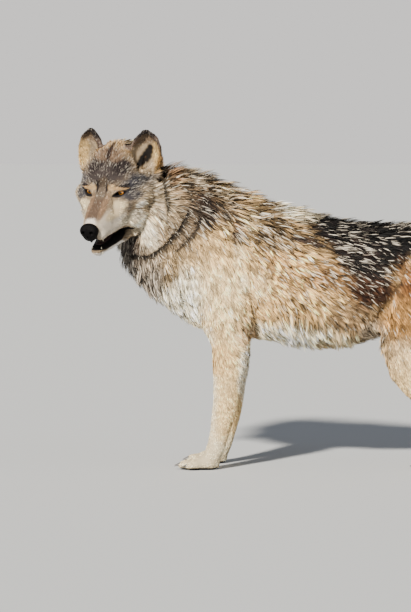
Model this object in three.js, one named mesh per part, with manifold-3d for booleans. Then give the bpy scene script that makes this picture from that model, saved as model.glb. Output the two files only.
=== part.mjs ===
// A timber wolf standing on all fours with its head turned to its left, at life size.
// Millimetres, +Z up. The wolf faces -Y, so its left side is +X. The solids reach out to the tips of the coat.
import * as THREE from 'three';
import { mergeVertices } from 'three/addons/utils/BufferGeometryUtils.js';
import Module from 'manifold-3d';

const wasm = await Module();
wasm.setup();

// ---- Driving dimensions ----
const GAP = 0.3; // clear space between neighbouring solids
const FAR = 2000; // reach of a cutting block past the animal

const WITHERS_HEIGHT = 744;
const CROUP_HEIGHT = 664;
const CHEST_WIDTH = 280;
const RUMP_Y = 612; // back of the buttocks
const BRISKET_Y = -150; // front of the breast
const BELLY_HEIGHT = 311;

const HEAD_TURN = THREE.MathUtils.degToRad(66); // from straight ahead towards the left
const HEAD_DROOP = THREE.MathUtils.degToRad(23); // of the mouth line below level
const HEAD_ROLL = THREE.MathUtils.degToRad(1.5); // left side down
const EYE_MIDDLE = new THREE.Vector3(118, -373, 750); // halfway between the pupils
const EYE_SPREAD = 94; // between the pupils
const EYE_RADIUS = 14;
const NOSE_FORWARD = 133; // middle of the nose pad, forward of the eyes
const NOSE_DROP = 59; // and below them
const EAR_TURN = 20; // degrees that each ear opens outwards
const EAR_BASE = { side: 71, behind: 105, above: 38 }; // from the point between the eyes
const EAR_WALL = 4.5;

const FORE_STANCE = 74; // half the distance between the forelegs
const HIND_STANCE = 84;
const FOREPAW_Y = -118;
const HINDPAW_Y = 510;
const RIGHT_FORE_SETBACK = 22; // the right foreleg stands behind the left one
const RIGHT_HIND_SETBACK = 66;
const FORELEG_CUT = 322; // where the legs part from the trunk
const HINDLEG_CUT = 326;
const FORELEG_MIDDLE = -105; // along Y, of the block that parts each leg
const HINDLEG_MIDDLE = 500;
const FOREPAW_CUT = 60; // where the paws part from the legs
const HINDPAW_CUT = 56;
const LEG_BLOCK = [200, 300, 400]; // encloses one leg below the trunk
const CLAW_LENGTH = 19;
const CLAW_PITCH = 0.28; // radians below level

// ---- Materials ----
const finish = (color, roughness) => new THREE.MeshStandardMaterial({ color, roughness, metalness: 0 });

// ---- Solids: lofted surfaces, and joins and cuts of them ----
function solid(geometry) {
  const bare = geometry.clone();
  bare.deleteAttribute('normal');
  bare.deleteAttribute('uv');
  const welded = mergeVertices(bare, 1e-4);
  const vertProperties = new Float32Array(welded.attributes.position.array);
  const triVerts = new Uint32Array(welded.index.array);
  return new wasm.Manifold(new wasm.Mesh({ numProp: 3, vertProperties, triVerts }));
}

function geometryOf(manifold) {
  const mesh = manifold.getMesh();
  const geometry = new THREE.BufferGeometry();
  geometry.setAttribute('position', new THREE.BufferAttribute(new Float32Array(mesh.vertProperties), 3));
  geometry.setIndex(new THREE.BufferAttribute(new Uint32Array(mesh.triVerts), 1));
  const facets = geometry.toNonIndexed();
  facets.computeVertexNormals();
  return facets;
}

const joined = (...solids) => solids.reduce((whole, next) => whole.add(next));

// Stations of a loft that runs along Y: half width, top and bottom, and how high the widest line lies.
function level(y, wide, top, bottom, widest = 0.5) {
  const z = THREE.MathUtils.lerp(bottom, top, widest);
  return { at: new THREE.Vector3(0, y, z), wide, over: top - z, under: z - bottom };
}

// Stations of a loft that runs down a limb: half width, and its depth behind and ahead of the axis.
const joint = (x, y, z, wide, rear, front) => ({ at: new THREE.Vector3(x, y, z), wide, over: rear, under: front });

// One closed surface through elliptic rings, with a dome at each end. The rings stand square to the spine,
// or upright across Y.
function loft(stations, { steps, sides, domes, upright = false, grow = 0 }) {
  const spine = new THREE.CatmullRomCurve3(stations.map((s) => s.at), false, 'catmullrom', 0.5);
  const sizes = stations.map((s) => new THREE.Vector3(s.wide, s.over, s.under));
  const girth = new THREE.CatmullRomCurve3(sizes, false, 'catmullrom', 0.5);
  const points = [];
  const addRing = (t, rise, scale) => {
    const tangent = upright ? new THREE.Vector3(0, 1, 0) : spine.getTangent(t);
    const across = new THREE.Vector3(1, 0, 0).addScaledVector(tangent, -tangent.x).normalize();
    const up = new THREE.Vector3().crossVectors(across, tangent);
    const centre = spine.getPoint(t).addScaledVector(tangent, rise);
    const [wide, over, under] = girth.getPoint(t).toArray().map((size) => (size + grow) * scale);
    for (let side = 0; side < sides; side++) {
      const angle = (2 * Math.PI * side) / sides;
      const lift = Math.sin(angle) * (Math.sin(angle) > 0 ? over : under);
      points.push(centre.clone().addScaledVector(across, Math.cos(angle) * wide).addScaledVector(up, lift));
    }
  };
  const domeAngles = [60, 32].map(THREE.MathUtils.degToRad);
  for (const angle of domeAngles) addRing(0, -(domes[0] + grow) * Math.sin(angle), Math.cos(angle));
  for (let step = 0; step <= steps; step++) addRing(step / steps, 0, 1);
  for (const angle of [...domeAngles].reverse()) addRing(1, (domes[1] + grow) * Math.sin(angle), Math.cos(angle));
  const poles = [0, 1].map((end) => {
    const reach = (domes[end] + grow) * (end ? 1 : -1);
    const along = upright ? new THREE.Vector3(0, 1, 0) : spine.getTangent(end);
    return spine.getPoint(end).addScaledVector(along, reach);
  });
  return closedRings(points, sides, poles);
}

// Joins rings of equal count into a closed surface whose faces point out.
function closedRings(points, sides, poles) {
  const rings = points.length / sides;
  const [first, last] = [points.length, points.length + 1];
  const index = [];
  for (let side = 0; side < sides; side++) {
    const next = (side + 1) % sides;
    for (let ring = 0; ring + 1 < rings; ring++) {
      const [a, b] = [ring * sides + side, ring * sides + next];
      index.push(a, a + sides, b, b, a + sides, b + sides);
    }
    index.push(first, side, next);
    index.push(last, (rings - 1) * sides + next, (rings - 1) * sides + side);
  }
  const geometry = new THREE.BufferGeometry().setFromPoints([...points, ...poles]);
  geometry.setIndex(index);
  return facingOut(geometry);
}

function facingOut(geometry) {
  const { position } = geometry.attributes;
  const corners = [0, 1, 2].map(() => new THREE.Vector3());
  const { array } = geometry.index;
  let volume = 0;
  for (let face = 0; face < array.length; face += 3) {
    corners.forEach((corner, k) => corner.fromBufferAttribute(position, array[face + k]));
    volume += corners[0].dot(corners[1].clone().cross(corners[2]));
  }
  if (volume < 0) array.reverse();
  return geometry;
}

function ellipsoid(radii, centre, across, down) {
  return new THREE.SphereGeometry(1, across, down).scale(...radii).translate(...centre);
}

// A block for cutting, with its middle and its pitch about X.
function block(size, middle, pitch = 0) {
  const place = new THREE.Matrix4().makeRotationX(pitch).setPosition(...middle);
  return (grow) => solid(new THREE.BoxGeometry(...size.map((side) => side + 2 * grow)).applyMatrix4(place));
}

// Divides a solid by a block, leaving a thin gap between the two pieces.
const parted = (whole, cutter) => [whole.intersect(cutter(0)), whole.subtract(cutter(GAP))];

// ---- Head, built level and facing -Y around the point between the eyes ----
const headTurn = new THREE.Quaternion()
  .setFromAxisAngle(new THREE.Vector3(0, 0, 1), HEAD_TURN)
  .multiply(new THREE.Quaternion().setFromAxisAngle(new THREE.Vector3(1, 0, 0), HEAD_DROOP))
  .multiply(new THREE.Quaternion().setFromAxisAngle(new THREE.Vector3(0, 1, 0), HEAD_ROLL));
const headPlace = new THREE.Matrix4().compose(EYE_MIDDLE, headTurn, new THREE.Vector3(1, 1, 1));
const onHead = (geometry) => solid(geometry.applyMatrix4(headPlace));

function skull() {
  const stations = [
    level(-122, 27, -34, -88, 0.5),
    level(-102, 36, -25, -96, 0.48),
    level(-74, 43, -12, -103, 0.48),
    level(-42, 53, 1, -106, 0.45),
    level(-18, 70, 16, -108, 0.48),
    level(2, 84, 36, -114, 0.5),
    level(28, 99, 68, -132, 0.44),
    level(62, 116, 99, -154, 0.4),
    level(102, 122, 102, -150, 0.4),
    level(138, 108, 84, -130, 0.44),
  ];
  return onHead(loft(stations, { steps: 15, sides: 16, domes: [10, 30], upright: true }));
}

// The lower jaw hangs a little open from behind the corner of the mouth.
function jaw(grow) {
  const stations = [
    level(-108, 19, -118, -137, 0.6),
    level(-88, 27, -121, -145, 0.6),
    level(-50, 35, -124, -151, 0.6),
    level(-8, 44, -117, -151, 0.6),
    level(32, 54, -104, -146, 0.6),
  ];
  return onHead(loft(stations, { steps: 7, sides: 10, domes: [10, 12], upright: true, grow }));
}

function tongue(grow) {
  const stations = [
    level(-84, 12, -113, -118),
    level(-56, 16, -114, -120.5),
    level(-28, 18, -110, -117.5),
    level(-6, 18, -106, -113),
  ];
  return onHead(loft(stations, { steps: 3, sides: 8, domes: [6, 3], upright: true, grow }));
}

// An ear stands on the skull, cupped in front, and opens forwards and outwards.
function ear(side, grow) {
  const placed = (stations, steps, domes, forward) => {
    const geometry = loft(stations.reverse(), { steps, sides: 9, domes, grow });
    geometry.translate(0, -forward, 0).rotateZ(side * THREE.MathUtils.degToRad(EAR_TURN));
    return onHead(geometry.translate(side * EAR_BASE.side, EAR_BASE.behind, EAR_BASE.above));
  };
  const outside = [
    joint(0, -4, -36, 38, 26, 26),
    joint(side * 3, 0, 0, 48, 24, 28),
    joint(side * 9, 7, 32, 47, 19, 24),
    joint(side * 14, 14, 58, 37, 13, 17),
    joint(side * 17, 18, 73, 22, 8, 9),
  ];
  const inside = [
    joint(0, -3, -24, 28, 17, 19),
    joint(side * 3, 0, 0, 48 - 2 * EAR_WALL, 17, 21),
    joint(side * 9, 7, 32, 47 - 2 * EAR_WALL, 13, 18),
    joint(side * 13, 13, 56, 36 - 2 * EAR_WALL, 8, 12),
  ];
  return { shell: placed(outside, 6, [4, 9], 0), hollow: placed(inside, 4, [5, 8], 11) };
}

function nosePad(grow) {
  const pad = ellipsoid([25 + grow, 14 + grow, 21 + grow], [0, -NOSE_FORWARD + 4, -NOSE_DROP], 11, 7);
  return onHead(pad);
}

function eyeHollow(side) {
  return onHead(ellipsoid([23, 24, 17], [side * (EYE_SPREAD / 2 + 3), -20, 3], 10, 7));
}

function eyeball(side, grow) {
  const centre = [side * (EYE_SPREAD / 2 - 2), EYE_RADIUS - 4, 0];
  return onHead(ellipsoid([EYE_RADIUS + grow, EYE_RADIUS + grow, EYE_RADIUS + grow], centre, 11, 7));
}

const CANINE_RADIUS = 4;
const CANINE_LENGTH = 20;
const UPPER_CANINE = { side: 18, along: -93, middle: -95 };
const LOWER_CANINE = { side: 13, along: -100, middle: -125 };

function canine(side, upper, grow) {
  const place = upper ? UPPER_CANINE : LOWER_CANINE;
  const crown = new THREE.ConeGeometry(CANINE_RADIUS + grow, CANINE_LENGTH + 2 * grow, 6);
  crown.rotateX(upper ? -Math.PI / 2 : Math.PI / 2);
  return onHead(crown.translate(side * place.side, place.along, place.middle));
}

// ---- Neck, trunk and tail ----
function neck() {
  const stations = [
    joint(34, -318, 738, 96, 96, 120),
    joint(20, -254, 706, 110, 130, 178),
    joint(8, -172, 655, 120, 162, 210),
    joint(0, -86, 600, 126, 176, 222),
    joint(0, 0, 560, 126, 180, 200),
  ];
  return solid(loft(stations, { steps: 7, sides: 16, domes: [26, 30] }));
}

function trunk() {
  const width = CHEST_WIDTH / 2;
  const stations = [
    level(BRISKET_Y, 84, 650, 380, 0.4),
    level(-80, 118, 738, 352, 0.42),
    level(10, 128, WITHERS_HEIGHT, 346, 0.42),
    level(106, width, 718, 321, 0.42),
    level(225, width - 2, 684, BELLY_HEIGHT, 0.44),
    level(330, 122, 671, 332, 0.48),
    level(420, 112, 668, 362, 0.52),
    level(500, 112, CROUP_HEIGHT, 400, 0.54),
    level(RUMP_Y - 46, 92, 646, 436, 0.54),
  ];
  return solid(loft(stations, { steps: 13, sides: 16, domes: [54, 46], upright: true }));
}

function tail(grow) {
  const stations = [
    joint(0, RUMP_Y - 50, 600, 28, 26, 24),
    joint(0, RUMP_Y + 4, 578, 36, 38, 34),
    joint(0, RUMP_Y + 36, 500, 45, 47, 42),
    joint(0, RUMP_Y + 46, 400, 50, 50, 46),
    joint(0, RUMP_Y + 40, 300, 44, 42, 40),
    joint(0, RUMP_Y + 30, 222, 26, 24, 24),
  ];
  return solid(loft(stations, { steps: 9, sides: 10, domes: [10, 34], grow }));
}

// ---- Legs. setback carries a leg's foot back, and less of it reaches each joint above. ----
function foreleg(side, setback) {
  const stations = [
    joint(side * 82, -70, 560, 46, 84, 92),
    joint(side * 92, -62, 450, 50, 84, 84),
    joint(side * 88, -42 + setback * 0.3, 352, 44, 56, 60),
    joint(side * 84, -43 + setback * 0.5, 292, 38, 50, 52),
    joint(side * 78, -50 + setback * 0.7, 212, 33, 41, 41),
    joint(side * 75, -58 + setback * 0.85, 152, 30, 36, 36),
    joint(side * FORE_STANCE, -70 + setback, 92, 28, 30, 30),
    joint(side * FORE_STANCE, -84 + setback, 46, 28, 28, 27),
    joint(side * FORE_STANCE, -96 + setback, 22, 30, 28, 26),
  ];
  return solid(loft(stations, { steps: 11, sides: 10, domes: [40, 14] }));
}

function hindleg(side, setback) {
  const stations = [
    joint(side * 58, 500, 590, 52, 92, 110),
    joint(side * 74, 458, 452, 56, 122, 106),
    joint(side * 86, 424 + setback * 0.3, 326, 48, 82, 72),
    joint(side * 87, 446 + setback * 0.6, 248, 38, 54, 52),
    joint(side * 86, 492 + setback * 0.85, 190, 29, 34, 36),
    joint(side * 85, 524 + setback, 152, 26, 30, 30),
    joint(side * HIND_STANCE, 530 + setback, 100, 24, 23, 25),
    joint(side * HIND_STANCE, 526 + setback, 52, 26, 24, 25),
    joint(side * HIND_STANCE, 518 + setback, 24, 28, 24, 24),
  ];
  return solid(loft(stations, { steps: 12, sides: 10, domes: [30, 14] }));
}

// Four toes around a broad pad. Each toe's place is across the paw and ahead of the paw's middle.
const TOES = [
  { across: -27, ahead: 20, spread: -9 },
  { across: -10, ahead: 39, spread: -3 },
  { across: 10, ahead: 39, spread: 3 },
  { across: 27, ahead: 20, spread: 9 },
];
const TOE_RADII = [13, 27, 16];
const TOE_HEIGHT = 14;
const TOE_PITCH = 0.12;

function paw(x, y, size) {
  const pad = ellipsoid([33, 46, 24], [0, 8, 16], 8, 6);
  const toes = TOES.map(({ across, ahead, spread }) => {
    const toe = ellipsoid(TOE_RADII, [0, 0, 0], 6, 4).rotateX(TOE_PITCH);
    return toe.rotateZ(THREE.MathUtils.degToRad(spread)).translate(across, -ahead, TOE_HEIGHT);
  });
  return joined(...[pad, ...toes].map((piece) => solid(piece.scale(size, size, size).translate(x, y, 0))));
}

function claw(x, y, size, toe, grow) {
  const horn = new THREE.ConeGeometry(4.4 + grow, CLAW_LENGTH + 2 * grow, 5);
  horn.rotateX(Math.PI + CLAW_PITCH).rotateZ(THREE.MathUtils.degToRad(toe.spread));
  horn.translate(toe.across, -toe.ahead - TOE_RADII[1] + 1, TOE_HEIGHT - 2);
  return solid(horn.scale(size, size, size).translate(x, y, 0));
}

// ---- The whole animal, then its parts ----
const LIMBS = [
  { end: 'front', side: 'left', sign: 1, setback: 0 },
  { end: 'front', side: 'right', sign: -1, setback: RIGHT_FORE_SETBACK },
  { end: 'hind', side: 'left', sign: 1, setback: 0 },
  { end: 'hind', side: 'right', sign: -1, setback: RIGHT_HIND_SETBACK },
].map((limb) => {
  const front = limb.end === 'front';
  return {
    ...limb,
    x: limb.sign * (front ? FORE_STANCE : HIND_STANCE),
    y: (front ? FOREPAW_Y : HINDPAW_Y) + limb.setback,
    size: front ? 1 : 0.93,
    leg: front ? foreleg : hindleg,
    legY: front ? FORELEG_MIDDLE : HINDLEG_MIDDLE,
    legCut: front ? FORELEG_CUT : HINDLEG_CUT,
    pawCut: front ? FOREPAW_CUT : HINDPAW_CUT,
  };
});

const nodes = [];
const colours = {
  coat: finish(0xb09a78, 0.95),
  pale: finish(0xd8c8a8, 0.95),
  grey: finish(0x8a8074, 0.95),
  ear: finish(0xa08a6c, 0.95),
  horn: finish(0x2a2522, 0.5),
  nose: finish(0x17151a, 0.45),
  eye: finish(0xc07818, 0.1),
  tongue: finish(0xa8606a, 0.5),
  tooth: finish(0xe8e0cc, 0.35),
};

function add(name, manifold, material) {
  const mesh = new THREE.Mesh(geometryOf(manifold), material.clone());
  mesh.name = name;
  nodes.push(mesh);
}

function buildHeadAndNeck(head, lowerJaw) {
  let skullSolid = head;
  let jawSolid = lowerJaw;
  for (const [side, sign] of [['left', 1], ['right', -1]]) {
    skullSolid = skullSolid.subtract(eyeHollow(sign)).subtract(eyeball(sign, GAP));
    skullSolid = skullSolid.subtract(canine(sign, true, GAP));
    jawSolid = jawSolid.subtract(canine(sign, false, GAP));
    const { shell, hollow } = ear(sign, 0);
    add(`ear_${side}`, shell.subtract(hollow), colours.ear);
    add(`eye_${side}`, eyeball(sign, 0), colours.eye);
    add(`canine_upper_${side}`, canine(sign, true, 0), colours.tooth);
    add(`canine_lower_${side}`, canine(sign, false, 0), colours.tooth);
  }
  add('head', skullSolid.subtract(nosePad(GAP)).subtract(tongue(GAP)), colours.grey);
  add('lower_jaw', jawSolid, colours.pale);
  add('tongue', tongue(0), colours.tongue);
  add('nose', nosePad(0), colours.nose);
}

const floor = block([FAR, FAR, FAR], [0, 0, -FAR / 2]);
const feet = LIMBS.map(({ x, y, size }) => paw(x, y, size));
const legs = LIMBS.map(({ leg, sign, setback }) => leg(sign, setback));
let body = joined(trunk(), neck(), skull(), ...legs, ...feet).subtract(floor(0));

// Jaw: everything of the jaw's shape that lies ahead of the corner of the mouth.
const MOUTH_CORNER = 8; // behind the eyes
const aheadOfCorner = (grow) => {
  const front = new THREE.BoxGeometry(FAR, FAR, FAR).translate(0, MOUTH_CORNER - FAR / 2 + grow, 0);
  return onHead(front);
};
const lowerJaw = jaw(0).intersect(aheadOfCorner(0));
body = body.add(jaw(0).subtract(aheadOfCorner(GAP))).subtract(jaw(GAP).intersect(aheadOfCorner(GAP)));

for (const sign of [1, -1]) body = body.subtract(ear(sign, GAP).shell);

// Head: parted from the neck by a cut that slants from behind the ears to the throat.
const HEAD_CUT = { behind: 98, slant: THREE.MathUtils.degToRad(26) };
const aheadOfNeck = (grow) => {
  const front = new THREE.BoxGeometry(FAR, FAR, FAR).translate(0, HEAD_CUT.behind - FAR / 2 + grow, 0);
  return onHead(front.rotateX(-HEAD_CUT.slant));
};
const [head, neckDown] = parted(body, aheadOfNeck);
buildHeadAndNeck(head, lowerJaw);

// Neck: parted from the trunk by a cut that slants from the withers to the breast.
const NECK_CUT = { y: -120, z: 600, slant: THREE.MathUtils.degToRad(-27) };
const neckAhead = new THREE.Vector3(0, -Math.cos(NECK_CUT.slant), -Math.sin(NECK_CUT.slant));
const neckMiddle = new THREE.Vector3(0, NECK_CUT.y, NECK_CUT.z).addScaledVector(neckAhead, FAR / 2);
const [neckSolid, trunkDown] = parted(neckDown, block([FAR, FAR, FAR], neckMiddle.toArray(), NECK_CUT.slant));
add('neck', neckSolid, colours.coat);

// Legs and paws: each leg below the trunk, and each paw below its pastern.
let trunkSolid = trunkDown;
for (const { end, side, sign, x, y, size, legY, legCut, pawCut } of LIMBS) {
  const legBlock = block(LEG_BLOCK, [sign * (LEG_BLOCK[0] / 2 + 1), legY, legCut - LEG_BLOCK[2] / 2]);
  const [limb, above] = parted(trunkSolid, legBlock);
  trunkSolid = above;
  let [foot, leg] = parted(limb, block([FAR, FAR, FAR], [0, 0, pawCut - FAR / 2]));
  TOES.forEach((toe, number) => {
    foot = foot.subtract(claw(x, y, size, toe, GAP));
    add(`claw_${end}_${side}_${number + 1}`, claw(x, y, size, toe, 0), colours.horn);
  });
  add(`leg_${end}_${side}`, leg, colours.pale);
  add(`paw_${end}_${side}`, foot, colours.pale);
}
add('trunk', trunkSolid.subtract(tail(GAP)), colours.coat);
add('tail', tail(0), colours.grey);

// ---- Stand it on the floor with the middle of its box at the origin ----
const wolf = new THREE.Group();
wolf.add(...nodes);
const box = new THREE.Box3().setFromObject(wolf);
const middle = box.getCenter(new THREE.Vector3());
wolf.position.set(-middle.x, -middle.y, -box.min.z);

export default wolf;
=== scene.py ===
"""A still, life-size timber wolf: one seamless skin with a sculpted head, under a coat of joined tufts.

Authoring is in millimetres in the animal's own frame: the wolf faces -Y, its left side is +X and +Z is up.
"""

import logging
import math
from dataclasses import dataclass, field
from enum import Enum

import bpy
import numpy as np
import openvdb as vdb
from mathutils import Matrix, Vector
from mathutils.kdtree import KDTree


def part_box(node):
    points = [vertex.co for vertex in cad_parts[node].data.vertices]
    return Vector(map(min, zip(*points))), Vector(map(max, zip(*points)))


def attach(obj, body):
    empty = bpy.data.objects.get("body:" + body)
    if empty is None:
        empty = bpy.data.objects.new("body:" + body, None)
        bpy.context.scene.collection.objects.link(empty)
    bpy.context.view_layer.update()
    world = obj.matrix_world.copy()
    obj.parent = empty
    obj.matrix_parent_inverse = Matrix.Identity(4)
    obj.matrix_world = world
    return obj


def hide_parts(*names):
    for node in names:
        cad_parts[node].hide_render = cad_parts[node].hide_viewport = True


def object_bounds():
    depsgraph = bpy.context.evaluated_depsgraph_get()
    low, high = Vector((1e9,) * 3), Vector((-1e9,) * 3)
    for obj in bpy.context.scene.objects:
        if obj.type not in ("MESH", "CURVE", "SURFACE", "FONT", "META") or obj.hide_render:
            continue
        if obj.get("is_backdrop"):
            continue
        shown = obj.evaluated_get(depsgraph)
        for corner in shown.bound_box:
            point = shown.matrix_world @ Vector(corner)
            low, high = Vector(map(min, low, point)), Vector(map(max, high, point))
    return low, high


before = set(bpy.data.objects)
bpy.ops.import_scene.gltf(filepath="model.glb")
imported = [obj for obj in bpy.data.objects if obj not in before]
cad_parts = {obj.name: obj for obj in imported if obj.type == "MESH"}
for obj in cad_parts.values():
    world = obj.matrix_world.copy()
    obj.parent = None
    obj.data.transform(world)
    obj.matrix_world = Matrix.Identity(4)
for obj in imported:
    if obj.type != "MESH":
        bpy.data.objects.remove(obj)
log = logging.getLogger("wolf")

Array = np.ndarray
Triple = tuple[float, float, float]
SEED = 20

EYE_MIDDLE = np.array([118.0, -373.0, 750.0])  # between the pupils, in the animal's frame
HEAD_TURN, HEAD_DROOP, HEAD_ROLL = 66.0, 23.0, 1.5  # degrees: to its left, below level, left side down
EYE_CENTRE = (45.0, 10.0, -2.5)  # of the left eyeball, in the head's frame
EYE_RADIUS = 14.0
EYE_AXIS = (0.10, -1.0, 0.0)  # where the left eye looks
EAR_ROOT = (71.0, 105.0, 38.0)  # of the left ear, in the head's frame
EAR_TURN = 20.0  # degrees that each ear opens outwards
FAR_OUTSIDE = 30.0  # millimetres, a distance field's value away from the surface


# ---- Frames ----
def turn(axis: int, degrees: float) -> Array:
    """Returns the 3x3 rotation about one axis.

    Args:
        axis: 0 for X, 1 for Y, 2 for Z.
        degrees: The angle, counter-clockwise seen from the axis's tip.

    Returns:
        The rotation matrix.
    """
    c, s = math.cos(math.radians(degrees)), math.sin(math.radians(degrees))
    a, b = (axis + 1) % 3, (axis + 2) % 3
    matrix = np.eye(3)
    matrix[a, a] = matrix[b, b] = c
    matrix[b, a], matrix[a, b] = s, -s
    return matrix


HEAD_AXES = turn(2, HEAD_TURN) @ turn(0, HEAD_DROOP) @ turn(1, HEAD_ROLL)


class Space:
    """Moves points between the animal's frame, the head's and ears' frames, and the row frame."""

    def __init__(self) -> None:
        """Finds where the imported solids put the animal's origin, from the two eyeballs."""
        middles = [np.array(sum(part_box(name), Vector())) / 2 for name in ("eye_left", "eye_right")]
        eyes = (middles[0] + middles[1]) * 500
        self.shift = eyes - (EYE_MIDDLE + HEAD_AXES @ np.array([0.0, EYE_CENTRE[1], 0.0]))

    def metres(self, points: Array) -> Array:
        """Returns the animal's millimetres as row-frame metres."""
        return (points + self.shift) / 1000

    def millimetres(self, points: Array) -> Array:
        """Returns row-frame metres as the animal's millimetres."""
        return points * 1000 - self.shift

    @staticmethod
    def to_head(points: Array) -> Array:
        """Returns the animal's millimetres in the head's frame."""
        return (points - EYE_MIDDLE) @ HEAD_AXES

    @staticmethod
    def from_head(points: Array) -> Array:
        """Returns the head's millimetres in the animal's frame."""
        return points @ HEAD_AXES.T + EYE_MIDDLE

    @staticmethod
    def to_ear(points: Array, side: int) -> Array:
        """Returns head-frame points in one ear's frame, with the ear mirrored to stand as the left one."""
        local = (points - np.array([side * EAR_ROOT[0], EAR_ROOT[1], EAR_ROOT[2]])) @ turn(2, side * EAR_TURN)
        return local * np.array([side, 1, 1])


# ---- Numbers ----
def smoothstep(low: float, high: float, value: Array) -> Array:
    """Returns a smooth ramp from 0 at low to 1 at high."""
    t = np.clip((value - low) / (high - low), 0, 1)
    return t * t * (3 - 2 * t)


def lattice_noise(points: Array, size: float, seed: int) -> Array:
    """Returns smooth noise between -1 and 1.

    Args:
        points: Places in millimetres, one a row.
        size: Millimetres between the lattice's points.
        seed: Which noise.

    Returns:
        One value a place.
    """
    scaled = points / size + 1000
    base = np.floor(scaled).astype(np.int64)
    part = scaled - base
    part = part * part * (3 - 2 * part)
    total = np.zeros(len(points))
    for corner in range(8):
        step = np.array([corner & 1, corner >> 1 & 1, corner >> 2 & 1])
        i, j, k = (base + step).T
        mixed = (i * 73856093) ^ (j * 19349663) ^ (k * 83492791) ^ (seed * 2654435761)
        mixed = (mixed ^ (mixed >> 13)) * 1274126177 & 0x7FFFFFFF
        weight = np.prod(np.where(step, part, 1 - part), axis=1)
        total += weight * (mixed / 0x3FFFFFFF - 1)
    return total


def srgb(code: str) -> Array:
    """Returns a hex colour as linear red, green and blue."""
    value = np.array([int(code[i : i + 2], 16) for i in (0, 2, 4)]) / 255
    return np.where(value < 0.04045, value / 12.92, ((value + 0.055) / 1.055) ** 2.4)


def unit(vectors: Array) -> Array:
    """Returns the vectors at length one."""
    return vectors / np.maximum(np.linalg.norm(vectors, axis=-1, keepdims=True), 1e-9)


def on_left(points: Array) -> Array:
    """Returns the places with those of the right side mirrored to the left."""
    return np.column_stack([np.abs(points[:, 0]), points[:, 1:]])


# ---- Distance forms of the head. A form's distance is negative inside, in millimetres. ----
Axes = tuple[Array, Array, Array]


def blend(a: Array, b: Array, reach: float) -> Array:
    """Returns the union of two forms with a fillet of about that reach."""
    h = np.clip(0.5 + 0.5 * (b - a) / reach, 0, 1)
    return b + h * (a - b) - reach * h * (1 - h)


def carve(a: Array, b: Array, reach: float) -> Array:
    """Returns form a with form b taken away, its edge rounded by about that reach."""
    return -blend(-a, b, reach)


@dataclass(frozen=True)
class Ball:
    """An ellipsoid, tipped about X and then turned about Z."""

    centre: Triple
    radii: Triple
    pitch: float = 0.0
    yaw: float = 0.0

    def distance(self, at: Axes) -> Array:
        """Returns the distance at each place.

        Args:
            at: The places' x, y and z.

        Returns:
            Millimetres, true near the surface.
        """
        axes = (turn(2, self.yaw) @ turn(0, self.pitch)).astype(np.float32)
        offset = [at[i] - self.centre[i] for i in range(3)]
        local = [sum(offset[j] * axes[j, i] for j in range(3)) for i in range(3)]
        near = np.sqrt(sum((local[i] / self.radii[i]) ** 2 for i in range(3)))
        slope = np.sqrt(sum((local[i] / self.radii[i] ** 2) ** 2 for i in range(3)))
        return near * (near - 1) / np.maximum(slope, 1e-6)


@dataclass(frozen=True)
class Rod:
    """A rounded rod between two places, with a radius at each."""

    start: Triple
    end: Triple
    radii: tuple[float, float]

    def distance(self, at: Axes) -> Array:
        """Returns the distance at each place.

        Args:
            at: The places' x, y and z.

        Returns:
            Millimetres.
        """
        along = np.subtract(self.end, self.start)
        offset = [at[i] - self.start[i] for i in range(3)]
        t = np.clip(sum(offset[i] * along[i] for i in range(3)) / (along @ along), 0, 1)
        gap = np.sqrt(sum((offset[i] - t * along[i]) ** 2 for i in range(3)))
        return gap - (self.radii[0] + (self.radii[1] - self.radii[0]) * t)


@dataclass(frozen=True)
class Tube:
    """A rounded form along one axis, through rows of (place, half width, top, bottom, widest)."""

    rows: tuple[tuple[float, float, float, float, float], ...]
    square: float = 2.2  # the rings' power: 2 is an ellipse, more is squarer
    domes: tuple[float, float] = (10.0, 20.0)  # how far each end bulges
    soften: int = 10  # millimetres that round the change from row to row

    def distance(self, at: Axes) -> Array:
        """Returns the distance at each place.

        Args:
            at: The places' x, y and z.

        Returns:
            Millimetres, a little less than the true ones.
        """
        x, y, z = at
        rows = np.array(self.rows)
        steps = np.arange(rows[0, 0], rows[-1, 0] + 0.5, 1.0)
        window = np.hanning(2 * self.soften + 3)
        columns = []
        for column in rows.T[1:]:
            plain = np.interp(steps, rows[:, 0], column)
            longer = np.pad(plain, self.soften + 1, mode="reflect", reflect_type="odd")
            columns.append(np.convolve(longer, window / window.sum(), mode="valid"))
        inside = np.clip(y, steps[0], steps[-1])
        wide, top, bottom, level = (np.interp(inside, steps, c).astype(np.float32) for c in columns)
        middle = bottom + (top - bottom) * level
        lift = z - middle
        height = np.where(lift > 0, top - middle, middle - bottom)
        past = y - inside
        dome = np.where(past < 0, self.domes[0], self.domes[1])
        n = self.square
        ring = (np.abs(x / wide) ** n + np.abs(lift / height) ** n) ** (2 / n)
        near = np.sqrt(ring + (past / dome) ** 2) + 1e-4
        reach = np.sqrt(x * x + lift * lift + past * past) + 1e-4
        return (reach - reach / near) * 0.92


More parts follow.
